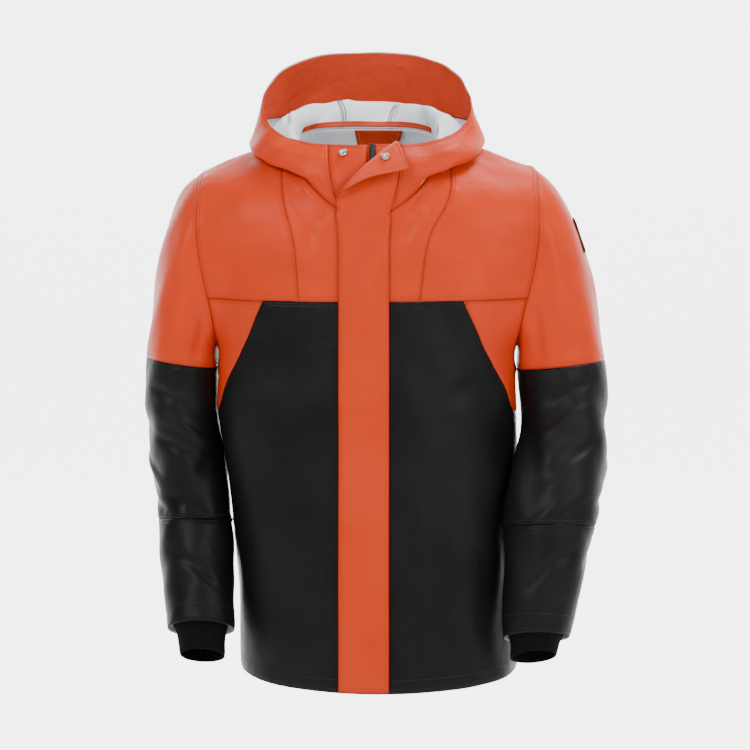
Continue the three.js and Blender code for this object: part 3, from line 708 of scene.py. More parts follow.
    def _read(self) -> None:
        """Reads the refined mesh: its points, sides, outward directions and distances from the edge."""
        mesh = self.mesh
        count = len(mesh.vertices)
        points = np.empty(count * 3)
        mesh.vertices.foreach_get("co", points)
        self.points = points.reshape(-1, 3) / MM
        sides = np.empty(len(mesh.polygons), np.int32)
        mesh.polygons.foreach_get("material_index", sides)
        self.sides = sides
        normals = np.empty(len(sides) * 3)
        mesh.polygons.foreach_get("normal", normals)
        areas = np.empty(len(sides))
        mesh.polygons.foreach_get("area", areas)
        weighted = normals.reshape(-1, 3) * areas[:, None]
        loops = np.empty(len(mesh.loops), np.int32)
        mesh.loops.foreach_get("vertex_index", loops)
        sizes = np.empty(len(sides), np.int32)
        mesh.polygons.foreach_get("loop_total", sizes)
        owner = np.repeat(np.arange(len(sides)), sizes)
        on_side = np.zeros((3, count), bool)
        out = np.zeros((count, 3))
        for side in range(3):
            mine = sides[owner] == side
            on_side[side, loops[mine]] = True
            if side == self.OUTSIDE:
                np.add.at(out, loops[mine], weighted[owner[mine]])
        self.outer = on_side[self.OUTSIDE]
        self.edge_points = self.outer & on_side[self.RIM]
        out /= np.maximum(np.linalg.norm(out, axis=1), 1e-12)[:, None]
        tree = self.tree(self.outer)
        self.twin = np.arange(count)
        for i in np.flatnonzero(~self.outer):
            self.twin[i] = tree.find(self.points[i])[1]
        self.out = out[self.twin]
        self.pull = np.zeros_like(self.points)
        self.edge = self._from_edge()

    def tree(self, mask: np.ndarray) -> KDTree:
        """Returns a search tree over the masked points."""
        return point_tree(self.points, np.flatnonzero(mask))

    def _from_edge(self) -> np.ndarray:
        """Returns each point's distance from the nearest edge of the outside, in millimetres."""
        tree = self.tree(self.edge_points)
        distance = np.zeros(len(self.points))
        for i in np.flatnonzero(self.outer):
            distance[i] = tree.find(self.points[i])[2]
        return distance[self.twin]

    def crease(self, reliefs: Iterable[Relief], pucker: float, held: KDTree | None = None) -> None:
        """Moves the cloth into its folds, both sides of the wall alike.

        Args:
            reliefs: the folds and swellings of the cloth.
            pucker: how far the cloth gathers along its seams, in millimetres.
            held: places on seams at which the folds run out.
        """
        rise = np.zeros(len(self.points))
        for relief in reliefs:
            rise += relief.rise(self.points, self.out)
        x, y, z = self.points.T
        across = np.sin(x / 3.9 + 1.3 * np.sin(z / 21))  # waves a few millimetres long, bent by longer ones
        down = np.sin(z / 4.7 + y / 5.3 + 1.1 * np.sin(x / 17))
        gather = across * down
        rise += pucker * gather * np.exp(-((self.edge - GATHER_AT) / GATHER_WIDE) ** 2)
        rise -= TURNED_IN * np.exp(-((self.edge / TURN_WIDE) ** 2))
        if held is not None:
            rise *= ease(np.array([held.find(place)[2] for place in self.points]) / SEAM_HOLD)
        rise = rise[self.twin] + self.cut.lift
        self.points += rise[:, None] * self.out
        if self.cut.let_out:
            self._let_out(self.cut.let_out)
        self.points += self.pull[self.twin]
        self._write()

    def _let_out(self, far: float) -> None:
        """Moves the edges out along the cloth, away from its middle."""
        inner = self.tree(self.outer & (self.edge > 6))
        push = np.zeros_like(self.points)
        for i in np.flatnonzero(self.edge_points):
            way = self.points[i] - np.array(inner.find(self.points[i])[0])
            way -= self.out[i] * (way @ self.out[i])
            push[i] = far * way / max(np.linalg.norm(way), 1e-9)
        near = self.edge < 1e-6
        self.points[near] += push[self.twin[near]]

    def _write(self) -> None:
        """Writes the moved points and the distance from the edge back to the mesh."""
        self.mesh.vertices.foreach_set("co", (self.points * MM).ravel())
        note = self.mesh.attributes.new("edge", "FLOAT", "POINT")
        note.data.foreach_set("value", self.edge.astype(np.float32))
        self.mesh.update()

    def note_turn(self) -> None:
        """Keeps each point's share of a turn round the piece's own middle, for ribs."""
        middle = self.points.mean(axis=0)
        turn = np.arctan2(self.points[:, 1] - middle[1], self.points[:, 0] - middle[0]) / (2 * math.pi)
        note = self.mesh.attributes.new("turn", "FLOAT", "POINT")
        note.data.foreach_set("value", turn.astype(np.float32))

    def dress(self, outside: bpy.types.Material, inside: bpy.types.Material) -> None:
        """Gives the outside and the rims one material, and the inside another."""
        self.mesh.materials.clear()
        self.mesh.materials.append(outside)
        self.mesh.materials.append(inside)
        slots = np.where(self.sides == self.INSIDE, 1, 0).astype(np.int32)
        self.mesh.polygons.foreach_set("material_index", slots)
        self.mesh.shade_smooth()

    def chains(self) -> list[np.ndarray]:
        """Returns the edges of the outside as chains of point numbers, divided at their corners."""
        rims = self.sides == self.RIM
        pairs: dict[int, list[int]] = {}
        faces_of: dict[tuple[int, int], list[bool]] = {}
        for polygon in self.mesh.polygons:
            if self.sides[polygon.index] == self.INSIDE:
                continue
            for a, b in polygon.edge_keys:
                if self.edge_points[a] and self.edge_points[b]:
                    faces_of.setdefault((a, b), []).append(bool(rims[polygon.index]))
        for (a, b), kinds in faces_of.items():
            if True in kinds and False in kinds:
                pairs.setdefault(a, []).append(b)
                pairs.setdefault(b, []).append(a)
        unused = set(pairs)
        loops = []
        while unused:
            start = min(unused)
            loop, here, last = [start], start, -1
            unused.discard(start)
            while True:
                closing = start if len(loop) > 2 else None
                ahead = [p for p in pairs[here] if p != last and (p in unused or p == closing)]
                if not ahead or ahead[0] == start:
                    break
                last, here = here, ahead[0]
                loop.append(here)
                unused.discard(here)
            loops.append(np.array(loop))
        return [part for loop in loops for part in self._divided(loop)]

    def _divided(self, loop: np.ndarray) -> list[np.ndarray]:
        """Divides a closed loop of points where it turns a corner."""
        places = self.points[loop]
        out = self.out[loop]
        span = 2  # how many points away the turning is measured
        ahead = np.roll(places, -span, axis=0) - places
        ahead -= out * (ahead * out).sum(1)[:, None]
        behind = places - np.roll(places, span, axis=0)
        behind -= out * (behind * out).sum(1)[:, None]
        lengths = np.linalg.norm(ahead, axis=1) * np.linalg.norm(behind, axis=1)
        cosine = (ahead * behind).sum(1) / (lengths + 1e-9)
        sharp = cosine < math.cos(CORNER_ANGLE)
        corners = [
            i
            for i in np.flatnonzero(sharp)
            if cosine[i] <= min(cosine[(i + k) % len(loop)] for k in range(-span - 1, span + 2))
        ]
        if len(corners) < 2:
            return [np.append(loop, loop[0])]
        parts = []
        for first, last in zip(corners, corners[1:] + [corners[0] + len(loop)]):
            if last - first > 3:
                parts.append(loop[np.arange(first, last + 1) % len(loop)])
        return parts


class Edge(Enum):
    """An edge of a piece, by where its middle lies."""

    LOW = (0.0, 0.0, -1.0)
    HIGH = (0.0, 0.0, 1.0)
    RIGHT = (-1.0, 0.0, 0.0)
    LEFT = (1.0, 0.0, 0.0)


class Thread(Enum):
    """A colour of thread, and the cloth whose slot it goes with."""

    ORANGE = ("orange", "orange_cloth")
    BLACK = ("black", "black_cloth")
    GREY = ("grey", "black_cloth")
    YELLOW = ("yellow", "orange_cloth")


@dataclass(frozen=True)
class Row:
    """A row of stitches along an edge of a piece."""

    edge: Edge
    inset: float  # from the edge, in millimetres
    thread: Thread = Thread.ORANGE
    inside: bool = False


@dataclass
class Stitching:
    """Rows of thread on the finished cloth."""

    pitch: float = 3.9
    length: float = 2.7
    thick: float = 0.55
    lift: float = 0.12
    verts: list[Vector] = field(default_factory=list)
    faces: list[tuple[int, ...]] = field(default_factory=list)

    def along_edge(self, shell: Shell, row: Row) -> None:
        """Adds a row of stitches at an even distance from an edge.

        Args:
            shell: the creased cloth.
            row: the edge and the distance.
        """
        way = np.array(row.edge.value)
        chain = max(shell.chains(), key=lambda part: (shell.points[part] @ way).mean())
        band = (shell.edge > row.inset * 0.9) & (shell.edge < row.inset * 1.1 + 6)
        inner = shell.tree(shell.outer & band)
        path = []
        for i in chain:
            inside = np.array(inner.find(shell.points[i])[0]) - shell.points[i]
            inside -= shell.out[i] * (inside @ shell.out[i])
            inside /= max(np.linalg.norm(inside), 1e-9)
            path.append(shell.points[i] + inside * row.inset)
        self.along(shell, smoothed(np.array(path)), Shell.INSIDE if row.inside else Shell.OUTSIDE)

    def along(self, shell: Shell, path: np.ndarray, side: int) -> None:
        """Adds stitches along a path, laid on the nearest cloth.

        Args:
            shell: the creased cloth.
            path: places in millimetres.
            side: the side of the cloth they lie on.
        """
        tree = shell_surface(shell, side)
        for start, end in dashes(path, self.pitch, self.length):
            ends = []
            for place in (start, end):
                hit, normal, _, _ = tree.find_nearest(Vector(place) * MM)
                ends.append((hit / MM, normal))
            self._stitch(ends[0], ends[1])

    def _stitch(self, first: tuple[Vector, Vector], second: tuple[Vector, Vector]) -> None:
        """Adds one stitch, a short rod that dips into the cloth at both ends."""
        (a, up), (b, up_b) = first, second
        run = b - a
        if run.length < 0.3 or run.length > 3 * self.length:
            return
        up = (up + up_b).normalized()
        across = run.cross(up).normalized() * self.thick / 2
        base = len(self.verts)
        middle = (a + b) / 2 + up * (self.lift + self.thick / 2)
        high = up * self.thick / 2
        quarter = run * 0.32
        self.verts.append(a - up * 0.1)
        for centre in (middle - quarter, middle + quarter):
            self.verts.extend([centre - across, centre + high, centre + across, centre - high])
        self.verts.append(b - up * 0.1)
        for k in range(4):
            n = (k + 1) % 4
            self.faces.append((base, base + 1 + k, base + 1 + n))
            self.faces.append((base + 1 + k, base + 5 + k, base + 5 + n, base + 1 + n))
            self.faces.append((base + 9, base + 5 + n, base + 5 + k))

    def finish(self, name: str, material: bpy.types.Material, slot: str) -> None:
        """Makes one piece of all the stitches so far."""
        if self.verts:
            make_piece(name, [v * MM for v in self.verts], self.faces, material)
        self.verts, self.faces = [], []


def tape_line() -> Stitching:
    """Returns the nearly unbroken line along a taped seam, thicker and flatter than thread."""
    return Stitching(pitch=3.0, length=2.9, thick=1.35, lift=0.05)


def smoothed(path: np.ndarray, rounds: int = 3) -> np.ndarray:
    """Evens out a path, keeping its ends."""
    path = path.copy()
    for _ in range(rounds):
        path[1:-1] = (path[:-2] + 2 * path[1:-1] + path[2:]) / 4
    return path


def dashes(path: np.ndarray, pitch: float, length: float) -> list[tuple[np.ndarray, np.ndarray]]:
    """Divides a path into dashes.

    Args:
        path: places in millimetres.
        pitch: from the start of a dash to the next.
        length: of a dash.

    Returns:
        The start and the end of each dash.
    """
    steps = np.linalg.norm(np.diff(path, axis=0), axis=1)
    at = np.concatenate([[0.0], np.cumsum(steps)])
    starts = np.arange(pitch / 2, at[-1] - length, pitch)

    def place(distance: np.ndarray) -> np.ndarray:
        """Returns the places at distances along the path."""
        return np.stack([np.interp(distance, at, path[:, k]) for k in range(3)], axis=1)

    return list(zip(place(starts), place(starts + length)))


def shell_surface(shell: Shell, side: int) -> BVHTree:
    """Returns a search tree over one side of a creased piece, in metres."""
    faces = [tuple(p.vertices) for p in shell.mesh.polygons if shell.sides[p.index] == side]
    return BVHTree.FromPolygons([v.co for v in shell.mesh.vertices], faces)


def make_piece(
    name: str,
    verts: Sequence[Vector],
    faces: Sequence[tuple[int, ...]],
    material: bpy.types.Material,
) -> bpy.types.Object:
    """Makes a smooth piece that rides on the coat.

    Args:
        name: the piece's name.
        verts: places in metres.
        faces: rows of point numbers.
        material: its finish.

    Returns:
        The piece.
    """
    mesh = bpy.data.meshes.new(name)
    mesh.from_pydata([tuple(v) for v in verts], [], faces)
    mesh.materials.append(material)
    mesh.shade_smooth()
    piece = bpy.data.objects.new(name, mesh)
    bpy.context.scene.collection.objects.link(piece)
    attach(piece, "root")
    log.info("%s: %d faces", name, len(faces))
    return piece


# The coat


@dataclass(frozen=True)
class Cut:
    """One cloth piece of the coat, named as its CAD node."""

    node: str
    outside: tuple[float, float, float]  # the way in which its outer side lies furthest
    flat: tuple[float, float]  # the cut's width and length in metres
    area: float  # of the cut, in square metres
    rows: tuple[Row, ...] = ()
    black: bool = False
    lined: bool = True
    levels: int = 2  # how often each facet is divided
    let_out: float = 0.0  # how far each edge is moved out towards its neighbour
    cloth: float = 1.5  # its thickness
    lift: float = 0.0  # how far it is moved out


FRONT, BACK, LEFT, RIGHT, DOWN = (0, -1, 0), (0, 1, 0), (1, 0, 0), (-1, 0, 0), (0, -0.3, -1)


@dataclass
class Assembly:
    """A part of the coat whose pieces fold together."""

    nodes: dict[str, bpy.types.Object]
    finishes: Finishes
    pucker: float = 0.35
    shells: dict[str, Shell] = field(default_factory=dict)
    held: KDTree | None = None

    def cut_out(self) -> None:
        """Makes the cloth pieces, still without folds."""
        for cut in self.cuts():
            self.shells[cut.node] = Shell(self.nodes[cut.node], cut.node + "_cloth", cut)

    def sewn(self) -> list[Shell]:
        """Returns the pieces that are sewn to other parts of the coat, which all have a backing."""
        return [self.shells[cut.node] for cut in self.cuts() if cut.lined]

    def edges(self) -> np.ndarray:
        """Returns the places along the edges of the pieces that are sewn to other parts."""
        places = [shell.points[shell.edge_points] for shell in self.sewn()]
        return np.concatenate(places) if places else np.zeros((0, 3))

    def hold(self, others: Sequence[np.ndarray]) -> None:
        """Finds the seams that join this part to the others, and draws its edges halfway to theirs.

        Args:
            others: the places along the edges of each other part.
        """
        around = point_tree(np.concatenate(others))
        near = []
        for shell in self.sewn():
            for i in np.flatnonzero(shell.edge_points):
                (first, _, gap), (second, _, _) = around.find_n(shell.points[i], 2)
                if gap < SEAM_NEAR:
                    run = second - first
                    along = (Vector(shell.points[i]) - first).dot(run) / max(run.length_squared, 1e-9)
                    target = first + run * min(1.0, max(0.0, along))
                    shell.pull[i] = (np.array(target) - shell.points[i]) / 2
                    near.append(shell.points[i])
        self.held = point_tree(np.array(near)) if near else None

    def reliefs(self) -> tuple[Relief, ...]:
        """Returns the folds of this part of the coat."""
        return ()

    def cuts(self) -> tuple[Cut, ...]:
        """Returns its cloth pieces."""
        return ()

    def build(self) -> None:
        """Makes the cloth pieces and sews their edges."""
        sewing = {thread: Stitching() for thread in Thread}
        sewing[Thread.GREY] = tape_line()
        for cut in self.cuts():
            shell = self.sew(cut)
            for row in cut.rows:
                sewing[row.thread].along_edge(shell, row)
        for thread, stitching in sewing.items():
            colour, slot = thread.value
            material = getattr(self.finishes, colour + "_thread")
            name = f"{type(self).__name__.lower()}_{self.tag()}{colour}_stitches"
            stitching.finish(name, material, slot)

    def tag(self) -> str:
        """Returns a word that tells two assemblies of a kind apart."""
        return ""

    def sew(self, cut: Cut) -> Shell:
        """Makes one cloth piece from its node.

        Args:
            cut: the piece.

        Returns:
            The creased cloth.
        """
        shell = self.shells[cut.node]
        shell.crease(self.reliefs(), self.pucker, self.held)
        outside = self.finishes.black if cut.black else self.finishes.orange
        shell.dress(outside, self.finishes.backing if cut.lined else self.finishes.deep_orange)
        self.attach(shell, cut)
        return shell

    def attach(self, shell: Shell, cut: Cut) -> None:
        """Fixes a finished piece to the coat in place of its node."""
        piece = shell.piece
        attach(piece, "root")
        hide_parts(cut.node)
        count = int((shell.sides == Shell.OUTSIDE).sum())
        log.info("%s: %d faces outside", piece.name, count)


BODY_FOLDS: tuple[Relief, ...] = (
    Fold(Side.FRONT, ((-226, -225), (-185, -275), (-120, -320)), 26, -2.4),
    Fold(Side.FRONT, ((-228, -270), (-170, -330), (-90, -365)), 33, -1.8),
    Fold(Side.FRONT, ((226, -225), (190, -285), (140, -330)), 26, -2.4),
    Fold(Side.FRONT, ((224, -290), (170, -350), (95, -385)), 33, -1.8),
    Fold(Side.FRONT, ((-150, -430), (-142, -600), (-150, -760)), 37, 2.4, fade=0.4),
    Fold(Side.FRONT, ((-90, -470), (-98, -640), (-92, -790)), 33, -2.1, fade=0.4),
    Fold(Side.FRONT, ((92, -450), (100, -620), (94, -790)), 35, -2.4, fade=0.4),
    Fold(Side.FRONT, ((150, -420), (143, -590), (152, -780)), 33, 2.4, fade=0.4),
    Fold(Side.FRONT, ((190, -440), (196, -620), (190, -780)), 22, -2.4, fade=0.4),
    Fold(Side.FRONT, ((-190, -440), (-196, -620), (-188, -780)), 22, -2.4, fade=0.4),
    Fold(Side.FRONT, ((-101, -84), (-93, -99), (-76, -116), (-46, -127)), 12, -4.5, lip=0.6),
    Fold(Side.FRONT, ((-84, -100), (-78, -132), (-80, -170)), 14, -3.0, lip=0.6),
    Fold(Side.FRONT, ((92, -86), (78, -98), (70, -132)), 12, -5.5, lip=0.6),
    Fold(Side.FRONT, ((74, -108), (60, -140), (46, -170)), 14, -3.0, lip=0.6),
    Fold(Side.BACK, ((-215, -230), (-120, -290), (0, -300)), 29, -3.0),
    Fold(Side.BACK, ((220, -240), (130, -310), (30, -330)), 29, -3.0),
    Fold(Side.BACK, ((-205, -330), (-120, -380), (-20, -400)), 33, -2.4),
    Fold(Side.BACK, ((205, -350), (110, -420), (10, -445)), 31, -3.0),
    Fold(Side.BACK, ((-140, -430), (-128, -600), (-142, -770)), 35, -3.6, fade=0.4),
    Fold(Side.BACK, ((-40, -460), (-52, -620), (-44, -770)), 37, 3.0, fade=0.4),
    Fold(Side.BACK, ((60, -430), (72, -600), (58, -770)), 33, -3.6, fade=0.4),
    Fold(Side.BACK, ((150, -450), (142, -610), (152, -770)), 29, 3.0, fade=0.4),
    Fold(Side.RIGHT, ((30, -380), (22, -560), (34, -770)), 29, -3.0, fade=0.4),
    Fold(Side.LEFT, ((20, -380), (34, -560), (22, -770)), 29, -3.0, fade=0.4),
    Fold(Side.TOP, ((-110, -20), (-170, -30), (-225, -10)), 24, -1.5),
    Fold(Side.TOP, ((110, -30), (175, -25), (228, 5)), 24, -1.5),
    Swell(((1.2, 310, 0, 420), (0.8, -170, 150, 260), (0.5, 95, 120, 140))),
)


@dataclass
class Body(Assembly):
    """The fronts, the back and the yoke."""

    def reliefs(self) -> tuple[Relief, ...]:
        """Returns the folds of the body."""
        return BODY_FOLDS

    def cuts(self) -> tuple[Cut, ...]:
        """Returns the pieces of the body."""
        hem = (Row(Edge.LOW, 19, Thread.BLACK),)
        yoke_seam = (Row(Edge.LOW, 7),)
        pieces = []
        for side, inner, outer in (("right", Edge.LEFT, Edge.RIGHT), ("left", Edge.RIGHT, Edge.LEFT)):
            sewn = (*yoke_seam, Row(inner, 3), Row(outer, 5))
            pieces += [
                Cut("front_body_" + side, FRONT, (0.275, 0.56), 0.138, hem, black=True, levels=3, let_out=0.4),
                Cut("front_wedge_" + side, FRONT, (0.12, 0.19), 0.013, (Row(inner, 4),), let_out=0.3),
                Cut("front_neck_panel_" + side, FRONT, (0.125, 0.24), 0.017, yoke_seam, let_out=0.4),
                Cut("front_chest_" + side, FRONT, (0.175, 0.26), 0.036, sewn, levels=3, let_out=0.4),
            ]
        patch_rows = (Row(Edge.RIGHT, 6, Thread.YELLOW), Row(Edge.LEFT, 6, Thread.YELLOW))
        return (
            *pieces,
            Cut("back_body", BACK, (0.56, 0.56), 0.29, hem, black=True, let_out=0.4),
            Cut("back_yoke", BACK, (0.56, 0.26), 0.132, yoke_seam, let_out=0.3),
            Cut("neck_patch", FRONT, (0.075, 0.06), 0.0034, patch_rows, lined=False, cloth=1.0, lift=1.6),
        )


SLEEVE_FOLDS: dict[str, tuple[Relief, ...]] = {
    "right": (
        Fold(Side.FRONT, ((-318, -362), (-262, -385), (-200, -432)), 17, -4.0),
        Fold(Side.FRONT, ((-322, -395), (-270, -415), (-205, -462)), 15, 3.1),
        Fold(Side.FRONT, ((-312, -430), (-255, -458), (-196, -505)), 17, -3.7),
        Fold(Side.FRONT, ((-206, -440), (-232, -490), (-240, -560)), 18, -3.7),
        Fold(Side.FRONT, ((-306, -520), (-255, -530), (-205, -560)), 14, -2.5),
        Fold(Side.FRONT, ((-296, -590), (-245, -612), (-202, -655)), 15, -2.5),
        Fold(Side.FRONT, ((-252, -110), (-262, -210), (-256, -320)), 23, 2.5, fade=0.4),
        Fold(Side.FRONT, ((-222, -250), (-236, -300), (-250, -345)), 16, -2.5),
        Fold(Side.RIGHT, ((60, -380), (0, -420), (-60, -440)), 18, -3.7),
        Fold(Side.RIGHT, ((50, -450), (0, -470), (-55, -520)), 16, 3.1),
        Fold(Side.RIGHT, ((40, -500), (-10, -530), (-70, -550)), 16, -3.1),
        Fold(Side.RIGHT, ((10, -150), (18, -240), (8, -330)), 28, 2.5, fade=0.4),
        Fold(Side.BACK, ((-320, -360), (-265, -400), (-205, -415)), 17, -3.7),
        Fold(Side.BACK, ((-315, -430), (-260, -450), (-200, -500)), 16, 3.1),
        Fold(Side.BACK, ((-305, -500), (-250, -515), (-200, -560)), 16, -3.1),
        Fold(Side.BACK, ((-250, -150), (-262, -230), (-262, -330)), 21, -2.5, fade=0.4),
        Swell(((0.9, 120, 140, 150), (0.6, -70, 85, 90))),
    ),
    "left": (
        Fold(Side.FRONT, ((332, -348), (285, -372), (240, -402)), 17, -4.0),
        Fold(Side.FRONT, ((340, -385), (290, -402), (235, -440)), 15, 3.1),
        Fold(Side.FRONT, ((338, -430), (280, -462), (222, -505)), 17, -4.0),
        Fold(Side.FRONT, ((225, -400), (232, -470), (215, -560)), 18, -3.7),
        Fold(Side.FRONT, ((325, -500), (270, -520), (215, -560)), 14, 2.8),
        Fold(Side.FRONT, ((305, -580), (255, -600), (212, -650)), 15, -2.8),
        Fold(Side.FRONT, ((252, -110), (268, -210), (262, -320)), 23, 2.5, fade=0.4),
        Fold(Side.FRONT, ((226, -220), (240, -280), (248, -345)), 16, -3.1),
        Fold(Side.LEFT, ((60, -370), (0, -410), (-75, -430)), 18, -4.0),
        Fold(Side.LEFT, ((45, -430), (-20, -460), (-90, -500)), 16, 3.1),
        Fold(Side.LEFT, ((20, -480), (-50, -515), (-130, -530)), 16, -3.7),
        Fold(Side.LEFT, ((0, -540), (-70, -570), (-140, -620)), 15, -2.5),
        Fold(Side.LEFT, ((12, -150), (4, -240), (12, -330)), 28, 2.5, fade=0.4),
        Fold(Side.BACK, ((335, -360), (280, -385), (225, -400)), 17, -3.7),
        Fold(Side.BACK, ((338, -430), (280, -440), (220, -490)), 16, 3.1),
        Fold(Side.BACK, ((325, -490), (270, -510), (215, -550)), 16, -3.4),
        Fold(Side.BACK, ((256, -150), (270, -230), (274, -330)), 21, -2.5, fade=0.4),
        Swell(((0.9, 125, 130, 155), (0.6, 75, -80, 95))),
    ),
}


@dataclass
class Sleeve(Assembly):
    """One sleeve, from the armhole to its knitted cuff."""

    side: str = "right"

    def tag(self) -> str:
        """Returns the sleeve's side."""
        return self.side + "_"

    def reliefs(self) -> tuple[Relief, ...]:
        """Returns the folds of this sleeve."""
        return SLEEVE_FOLDS[self.side]

    def cuts(self) -> tuple[Cut, ...]:
        """Returns the pieces of this sleeve."""
        out = RIGHT if self.side == "right" else LEFT
        elbow = (Row(Edge.LOW, 5, Thread.BLACK),)
        hem = (Row(Edge.LOW, 26, Thread.BLACK),)
        return (
            Cut("sleeve_top_" + self.side, out, (0.48, 0.28), 0.071, (Row(Edge.LOW, 6),)),
            Cut("sleeve_arm_" + self.side, out, (0.44, 0.24), 0.096, elbow, black=True, levels=3),
            Cut("sleeve_forearm_" + self.side, out, (0.4, 0.165), 0.0525, hem, black=True, levels=3),
        )

    def build(self) -> None:
        """Makes the sleeve and its cuff, and the tab on the left one."""
        super().build()
        out = RIGHT if self.side == "right" else LEFT
        cuff = Cut("cuff_" + self.side, out, (0.24, 0.095), 0.016, black=True, cloth=2.0)
        shell = Shell(self.nodes[cuff.node], cuff.node + "_knit", cuff)
        shell.crease((), 0.0)
        shell.note_turn()
        shell.dress(self.finishes.rib, self.finishes.rib)
        self.attach(shell, cuff)
        if self.side == "left":
            tab = Cut(
                "sleeve_tab", LEFT, (0.04, 0.06), 0.0023, black=True, lined=False, levels=3, cloth=1.0
            )
            shell = Shell(self.nodes[tab.node], "sleeve_tab_cloth", tab)
            shell.crease(self.reliefs(), 0.0)
            shell.dress(self.finishes.tape, self.finishes.tape)
            self.attach(shell, tab)


HOOD_FOLDS: tuple[Relief, ...] = (
    Fold(Side.FRONT, ((-150, -40), (-110, -80), (-60, -110)), 14, -3.5),
    Fold(Side.FRONT, ((155, -40), (118, -78), (66, -108)), 14, -4.0),
    Fold(Side.BACK, ((-60, 70), (-90, 10), (-70, -70)), 24, -6.0, fade=0.4),
    Fold(Side.BACK, ((10, 80), (24, 0), (8, -80)), 26, 5.0, fade=0.4),
    Fold(Side.BACK, ((80, 70), (100, 0), (92, -60)), 22, -6.0, fade=0.4),
    Fold(Side.BACK, ((-122, 70), (-113, 15), (-107, -20)), 9, 8.0, fade=0.25, lip=0.9, depth=(-20, 75)),
    Fold(Side.BACK, ((92, 70), (116, 32), (140, -5)), 9, 8.0, fade=0.25, lip=0.9, depth=(-20, 75)),
    Fold(Side.BACK, ((-40, 70), (-30, 40), (-48, 10)), 12, -4.0, depth=(0, 118)),
    Fold(Side.BACK, ((30, 72), (44, 44), (26, 12)), 12, 4.0, depth=(0, 118)),
    Fold(Side.FRONT, ((-92, -92), (-74, -110), (-56, -116)), 8, -5.0, lip=0.9),
    Fold(Side.FRONT, ((-86, -60), (-78, -80), (-74, -92)), 9, 2.5, lip=0.6),
    Fold(Side.FRONT, ((112, -66), (90, -88), (72, -112)), 8, -6.0, lip=0.9),
    Fold(Side.FRONT, ((128, -48), (106, -62), (94, -74)), 9, 3.0, lip=0.6),
    Swell(((1.0, 130, 150, 120), (0.7, -80, 70, 90))),
)


@dataclass
class Hood(Assembly):
    """The hood, which lies down round the neck, with its collar bands, facing and binding."""

    def reliefs(self) -> tuple[Relief, ...]:
        """Returns the folds of the hood."""
        return HOOD_FOLDS

    def cuts(self) -> tuple[Cut, ...]:
        """Returns the pieces of the hood."""
        rim = (Row(Edge.HIGH, 4), Row(Edge.HIGH, 28))
        seams = (Row(Edge.RIGHT, 4), Row(Edge.LEFT, 4))
        taped = tuple(Row(seam.edge, inset, Thread.GREY, True) for seam in seams for inset in (2.5, 7))
        top, front = Row(Edge.HIGH, 4), Row(Edge.RIGHT, 3)
        return (
            Cut("hood_side_right", RIGHT, (0.33, 0.3), 0.0665, rim, let_out=0.7),
            Cut("hood_side_left", LEFT, (0.33, 0.3), 0.0665, rim, let_out=0.7),
            Cut("hood_centre", BACK, (0.13, 0.42), 0.054, (*rim, *seams, *taped), let_out=0.7),
            Cut("collar_band_right", FRONT, (0.05, 0.115), 0.0047, (top, front), let_out=0.7),
            Cut("collar_band_left", FRONT, (0.05, 0.115), 0.0047, (top,), let_out=0.7),
            Cut("hood_facing", BACK, (0.78, 0.066), 0.0455, lined=False, cloth=1.0),
            Cut("neck_binding", BACK, (0.27, 0.01), 0.0021, lined=False, cloth=1.8),
        )


# The faces of a box whose corners are numbered along x, then y, then z
BOX = ((0, 1, 5, 4), (2, 6, 7, 3), (0, 4, 6, 2), (1, 3, 7, 5), (0, 2, 3, 1), (4, 5, 7, 6))

# A stud's rolled ring from its middle out: radius and height over the stud's top, in millimetres
STUD_PROFILE = ((0.0, -0.9), (1.2, -0.85), (2.1, -0.5), (2.6, 0.15), (3.2, 0.35), (3.7, 0.05), (3.7, -1.3))


